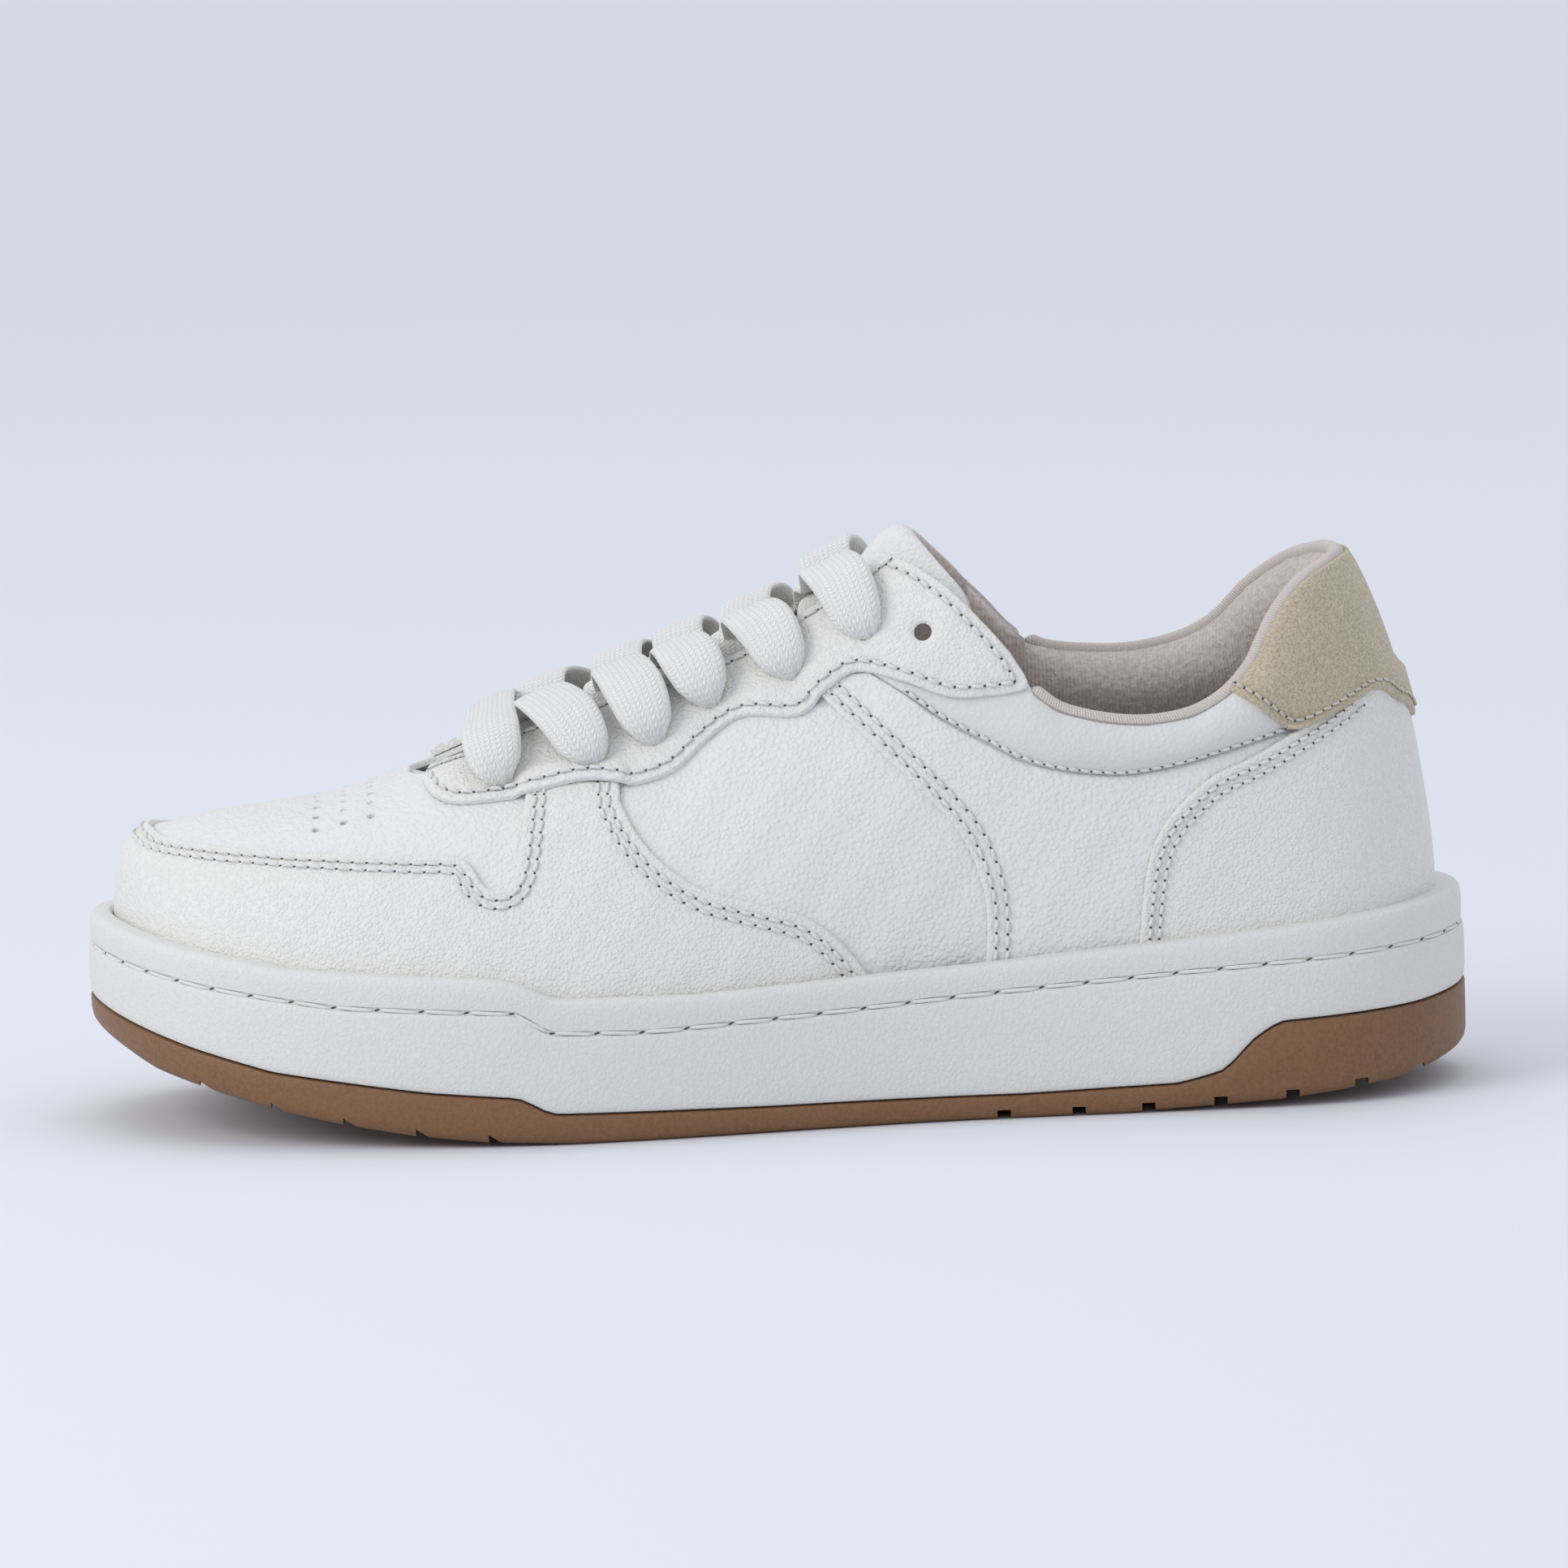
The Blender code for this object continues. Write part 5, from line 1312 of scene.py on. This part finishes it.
def crossing_stops(side, places, index, lift):
    """From under an eyelet, across the tongue, to the top of the next eyelet opposite."""
    other = "medial" if side == "lateral" else "lateral"
    ring, row = places[side][index]
    leave = ring + (places[side][index + 1][0] - ring) * 0.25
    goal, goal_row = places[other][index + 1]
    arrive = goal + (places[other][index][0] - goal) * 0.45
    under_row = edge_row(leave)
    over = edge_row(arrive)
    start, along_start, _ = lace_stop(leave, under_row, 0.0, "flat")
    finish, along_finish, _ = lace_stop(arrive, over, 0.0, "flat")
    stops = [lace_stop(leave, row + 0.4 * (under_row - row), LACE_UNDER - 0.5, "mid"),
             lace_stop(leave, under_row, LACE_UNDER, "flat")]
    for share in (0.33, 0.67):
        place = start * (1 - share) + finish * share + np.array([-0.5, 0, 0.85]) * lift
        stops.append((place, along_start * (1 - share) + along_finish * share, "flat"))
    stops.append(lace_stop(arrive, over, LACE_OVER, "flat"))
    stops += bulb_stops(goal, goal_row, arrive)
    return other, stops


def bulb_stops(ring, row, arrive):
    """The lace swells over the eyestay and turns down into the eyelet."""
    edge = edge_row(ring)
    return [lace_stop(ring + 0.4 * (arrive - ring), row + 0.5 * (edge - row), LACE_OVER + 1.3, "full"),
            lace_stop(ring + 0.08 * (arrive - ring), row + 0.12 * (edge - row), LACE_OVER - 0.3, "round")]


def tail_point(ring, row, share):
    """Point on a tucked lace end, which runs back and down inside the lining."""
    back = TAIL_RUN[0] * share * (-1 if ring < LAST_STATION else 1)
    at = Spots(np.array([[ring + back, row - TAIL_RUN[1] * share]]), False)
    deep = LACE_UNDER - TAIL_DEEPER - pad_depth(at)
    return at.lifted(deep)[0]


def lace_stops(places, side, lift):
    """The route of one lace end, from its first eyelet to the tucked tip."""
    stops = []
    for index in range(THREADED):
        ring, row = places[side][index]
        stops.append(lace_stop(ring, row, 1.0, "neck"))
        stops.append(lace_stop(ring, row, -2.8, "hole"))
        if index < THREADED - 1:
            side, crossing = crossing_stops(side, places, index, lift)
            stops += crossing
    for share in TAIL_SHARES:
        stops.append((tail_point(ring, row, share), stops[-1][1], "tail"))
    return stops


def lace_bar(places):
    """The straight bar over the first pair of eyelets."""
    halves = []
    for side in SIDES:
        ring, row = places[side][0]
        edge = edge_row(ring)
        halves.append(bulb_stops(ring, row, ring)[::-1] + [lace_stop(ring, edge, LACE_OVER, "flat")])
    centre = 0.5 * (halves[0][-1][0] + halves[1][-1][0]) + np.array([0.0, 0.0, 0.8])
    return halves[0] + [(centre, halves[0][-1][1], "flat")] + halves[1][::-1]


def make_lace():
    """The woven lace in one piece: one end, the bar over the throat and the other end."""
    places = {}
    for side in SIDES:
        station, row, _ = find_places(EYELETS, side)
        places[side] = list(zip(side_ring(station, side), row))
    stops = (lace_stops(places, "lateral", -0.9)[::-1] + lace_bar(places)
             + lace_stops(places, "medial", 1.4))
    path = smooth([(*place, *along_shoe, *LACE_SHAPES[kind]) for place, along_shoe, kind in stops], 9)
    bell = np.exp(-np.linspace(-1.6, 1.6, 7) ** 2)
    for k in range(3):
        path[3:-3, k] = np.convolve(path[:, k], bell / bell.sum(), "valid")
    run = unit(np.gradient(path[:, :3], axis=0))
    length = walked(path[:, :3])
    points, strand = [], []
    for i, key in enumerate(path):
        side = unit(key[3:6] - run[i] * np.dot(key[3:6], run[i]))
        up = np.cross(run[i], side)
        pleat = 0.06 * float(1 - smoothstep(3.0, 5.2, key[6]))
        for angle in np.linspace(0, 2 * math.pi, LACE_SIDES, endpoint=False):
            c, s = math.cos(angle), math.sin(angle)
            across = math.copysign(abs(c) ** 0.75, c) * key[6]
            lift = math.copysign(abs(s) ** 0.85, s) * key[7]
            fold = 1 + pleat * math.cos(9 * angle)
            points.append(key[:3] + side * across * fold + up * lift * fold)
            strand.append((length[i], across * 5.0 / max(key[6], 2.5), 0))
    made = mesh_object("woven_lace", points, tube_faces(len(path), LACE_SIDES), "cotton", slot="cotton_lace",
                       replaces=("lace",))
    store_vectors(made, "strand", strand)


def make_tips():
    """Lace tips on the tucked ends."""
    for side in SIDES:
        station, row, _ = find_places(EYELETS[THREADED - 1:THREADED], side)
        path = smooth([tail_point(side_ring(station[0], side), row[0], share) for share in TIP_SHARES], 6)
        tube(f"lace_tip_{side}", path, TIP_RADIUS, 14, "tip", "lace_tip", f"aglet_{side}")


# ---------------------------------------------------------------- sole
SOLE_STATIONS = np.concatenate([np.arange(0, 2, 0.04), np.arange(2, 9, 0.06), np.arange(9, 11.001, 0.04)])


def sole_loft(name, profile, finish, slot, node, body="shoe"):
    """Loft along the shoe: profile(ring) lists (inset, height) from the bottom edge to the top."""
    sections = []
    for station in SOLE_STATIONS:
        halves = [[(*inset(ring, d), z) for d, z in profile(ring)]
                  for ring in (station, WHOLE_RING - station)]
        sections.append(halves[0] + halves[1][::-1])
    faces = ring_quads(len(sections), len(sections[0]))
    made = mesh_object(name, np.vstack(sections), faces, finish, slot=slot, replaces=(node,), body=body)
    work = bmesh.new()
    work.from_mesh(made.data)
    bmesh.ops.remove_doubles(work, verts=work.verts, dist=0.00001)
    bmesh.ops.dissolve_degenerate(work, edges=work.edges, dist=0.00001)
    bmesh.ops.recalc_face_normals(work, faces=work.faces)
    work.to_mesh(made.data)
    work.free()
    shade_sole(made.data)
    return made


def shade_sole(mesh):
    mesh.shade_smooth()
    mesh.set_sharp_from_angle(angle=math.radians(SHARP_SOLE))


def upper_inset(ring, height):
    """How far in from the sole outline the upper stands at a height."""
    rows = np.linspace(0, 0.5, 60)
    wall = last_surface(ring, rows)
    x, y = [float(np.interp(height, wall[:, 2], wall[:, k])) for k in (0, 1)]
    return float(np.linalg.norm(np.array([x, y]) - OUTLINE(ring)))


def cup_floor(ring):
    """Height of the gum inside its raised edge."""
    return min(along(SOFT_TREAD, inset(ring, 3.0)[0]) + 3.6, along(SOFT_GUM, inset(ring, 0)[0]) - 0.8)


def outsole_profile(ring):
    x = inset(ring, 0)[0]
    rise, top = along(SOFT_TREAD, x), along(SOFT_GUM, x)
    side = min(rise + 2.8, top - 0.7)
    return [(3.0, along(SOFT_TREAD, inset(ring, 3.0)[0])), (1.6, rise + 0.15), (0.9, rise + 0.6),
            (0.35, rise + 1.4), (0.05, side), (0.0, 0.5 * (side + top)), (0.0, top - 0.4), (0.12, top - 0.12),
            (0.4, top), (2.2, top), (2.2, cup_floor(ring))]


def cupsole_profile(ring):
    x = inset(ring, 0)[0]
    top = along(SOFT_GUM, x) + GAP
    floor = cup_floor(ring) + GAP
    groove, rim = along(SOFT_GROOVE, x), along(SOFT_RIM, x)
    inner = max(RIM_WALL, upper_inset(ring, rim) - 1.5)
    wall = groove - top
    return [(2.5, floor), (2.5, top), (0.9, top), (0.4, top + 0.2), (0.12, top + 0.7), (0.0, top + 1.6),
            (-0.1, top + 0.3 * wall), (-0.1, top + 0.6 * wall), (0.0, groove - 1.5), (0.12, groove - 0.9),
            (0.35, groove - 0.46), (0.75, groove - 0.38), (0.85, groove - 0.1), (0.8, groove + 0.25),
            (0.65, groove + 0.42), (0.45, groove + 0.55), (0.4, groove + 0.95), (0.35, 0.5 * (groove + rim)),
            (0.45, rim - 1.7), (0.7, rim - 0.8), (1.15, rim - 0.25), (1.8, rim), (inner - 0.7, rim - 0.1),
            (inner, rim - 0.8), (inner + 0.3, floor + 2.0)]


def make_sole():
    sole_loft("cupsole_wall", cupsole_profile, "white_rubber", "white_rubber", "cupsole")
    cut_tread(sole_loft("gum_tread", outsole_profile, "gum", "gum_rubber", "outsole"))
    foam = sole_loft("midsole_padding", foam_profile, "foam", "foam", "midsole_foam")
    liner = sole_loft("sockliner_pad", sockliner_profile, "lining", "knit_lining", "sockliner", "sockliner")


def foam_profile(ring):
    floor = cup_floor(ring) + 2 * GAP + 2.0
    top = bed_height(inset(ring, FOAM_INSET)[0])
    corner = FOAM_INSET + 0.6
    return [(corner, floor), (FOAM_INSET, floor + 0.6), (FOAM_INSET, top - 0.6), (corner, top)]


def sockliner_profile(ring):
    distance = BOARD_INSET + 0.4
    z = bed_height(inset(ring, distance)[0]) + BOARD + 2 * GAP
    top = z + SOCKLINER
    return [(distance + 0.3, z), (distance, z + 0.5), (distance - 0.3, top - 0.6),
            (distance + 0.1, top + 0.1), (distance + 1.2, top + 0.2), (distance + 6, top - 0.3)]


def cut_tread(outsole):
    """Cross grooves: saw-tooth under the forefoot, square under the heel."""
    work = bmesh.new()
    for x in TOE_GROOVES + HEEL_GROOVES:
        z = along(SOFT_TREAD, x)
        right, roof = (x + 1.6, z - 0.2) if x in TOE_GROOVES else (x + 1.3, z + 1.9)
        outline = [(x - 1.3, z - 3), (x - 1.3, z + 1.9), (right, roof), (right, z - 3)]
        near, far = [[work.verts.new((a * MM, y * MM, b * MM)) for a, b in outline] for y in (-70, 70)]
        work.faces.new(near)
        work.faces.new(far[::-1])
        for i in range(4):
            j = (i + 1) % 4
            work.faces.new((near[j], near[i], far[i], far[j]))
    bmesh.ops.recalc_face_normals(work, faces=work.faces)
    mesh = bpy.data.meshes.new("tread_cutter")
    work.to_mesh(mesh)
    work.free()
    cutter = put("tread_cutter", mesh)
    boolean = outsole.modifiers.new("tread", "BOOLEAN")
    boolean.operation = "DIFFERENCE"
    boolean.solver = "EXACT"
    boolean.object = cutter
    bpy.context.view_layer.update()
    cut = bpy.data.meshes.new_from_object(outsole.evaluated_get(bpy.context.evaluated_depsgraph_get()))
    outsole.modifiers.clear()
    outsole.data = cut
    bpy.data.objects.remove(cutter, do_unlink=True)
    shade_sole(cut)


def make_sole_thread():
    """Long stitches that lie in the groove of the cupsole, all the way round."""
    rings = np.linspace(0, WHOLE_RING, 900)
    plan = inset(rings, 0.8)
    place = np.column_stack([plan, along(SOFT_GROOVE, plan[:, 0])])
    outward = np.column_stack([OUTLINE(rings) - plan, np.zeros(len(rings))])
    stitches("cupsole", [(place, unit(outward), SOLE_PITCH)], radius=0.26, length=2.4)


# ---------------------------------------------------------------- CAD nodes that stay
CAD_LOOKS = {"insole_board": "board", "toe_puff": "board", "heel_stiffener": "board", "vamp_lining": "lining"}


# ---------------------------------------------------------------- stage
def make_stage():
    """A pale paper floor painted lighter towards the back as painted light, an even sky and three soft lights."""
    mesh = bpy.data.meshes.new("floor")
    corners = [(x * FLOOR_REACH, y * FLOOR_REACH, 0) for x, y in ((-1, -1), (1, -1), (1, 1), (-1, 1))]
    mesh.from_pydata(corners, [], [(0, 1, 2, 3)])
    paper = Shader("pale_paper_painted_light", (0.80, 0.815, 0.87), 0.75)
    # painted light: the floor's colour brightens with distance behind the shoe, standing in for light on the far floor
    depth = paper.node("ShaderNodeSeparateXYZ", {0: paper.place}).outputs["Y"]
    paper.paint(paper.spread(depth, 0.25, 4.0), paper.colour, (0.95, 0.96, 0.985))
    paper.bump(paper.noise(60, 3), 0.05, 0.001)
    mesh.materials.append(paper.material)
    put("floor", mesh)
    world = bpy.data.worlds.new("studio")
    world.use_nodes = True
    back = world.node_tree.nodes["Background"]
    back.inputs["Color"].default_value = (*SKY, 1)
    back.inputs["Strength"].default_value = SKY_STRENGTH
    bpy.context.scene.world = world
    for name, (place, size, power, colour) in LIGHTS.items():
        data = bpy.data.lights.new(name, "AREA")
        data.size, data.energy, data.color = size, power, colour
        made = put(name, data)
        made.location = place
        made.rotation_euler = (Vector(LIGHTS_AIM) - Vector(place)).to_track_quat("-Z", "Y").to_euler()


def make_camera():
    """Level with the side of the shoe, a little above it, rolled by two degrees."""
    data = bpy.data.cameras.new("camera")
    data.sensor_width = 36
    data.lens = CAMERA_LENS
    made = put("camera", data)
    target = Vector(CAMERA_AIM)
    height = math.radians(CAMERA_RISE)
    made.location = target + Vector((0, -math.cos(height), math.sin(height))) * CAMERA_AWAY
    look = (target - made.location).to_track_quat("-Z", "Y")
    made.rotation_mode = "QUATERNION"
    made.rotation_quaternion = look @ Quaternion((0, 0, 1), math.radians(CAMERA_ROLL))
    bpy.context.scene.camera = made


make_vamp()
make_toe_overlay()
for shoe_side in SIDES:
    make_quarter(shoe_side)
    make_rear_quarter(shoe_side)
    make_collar_panel(shoe_side)
    make_lining(shoe_side)
    make_eyestay(shoe_side)
make_collar_padding()
make_heel()
make_binding()
make_tongue()
make_tongue_root()
make_lace()
make_tips()
make_sole()
make_sole_thread()
for kept, look in CAD_LOOKS.items():
    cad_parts[kept].data.materials.clear()
    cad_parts[kept].data.materials.append(FINISH[look])
make_stage()
make_camera()
bpy.context.scene.view_settings.view_transform = "Standard"
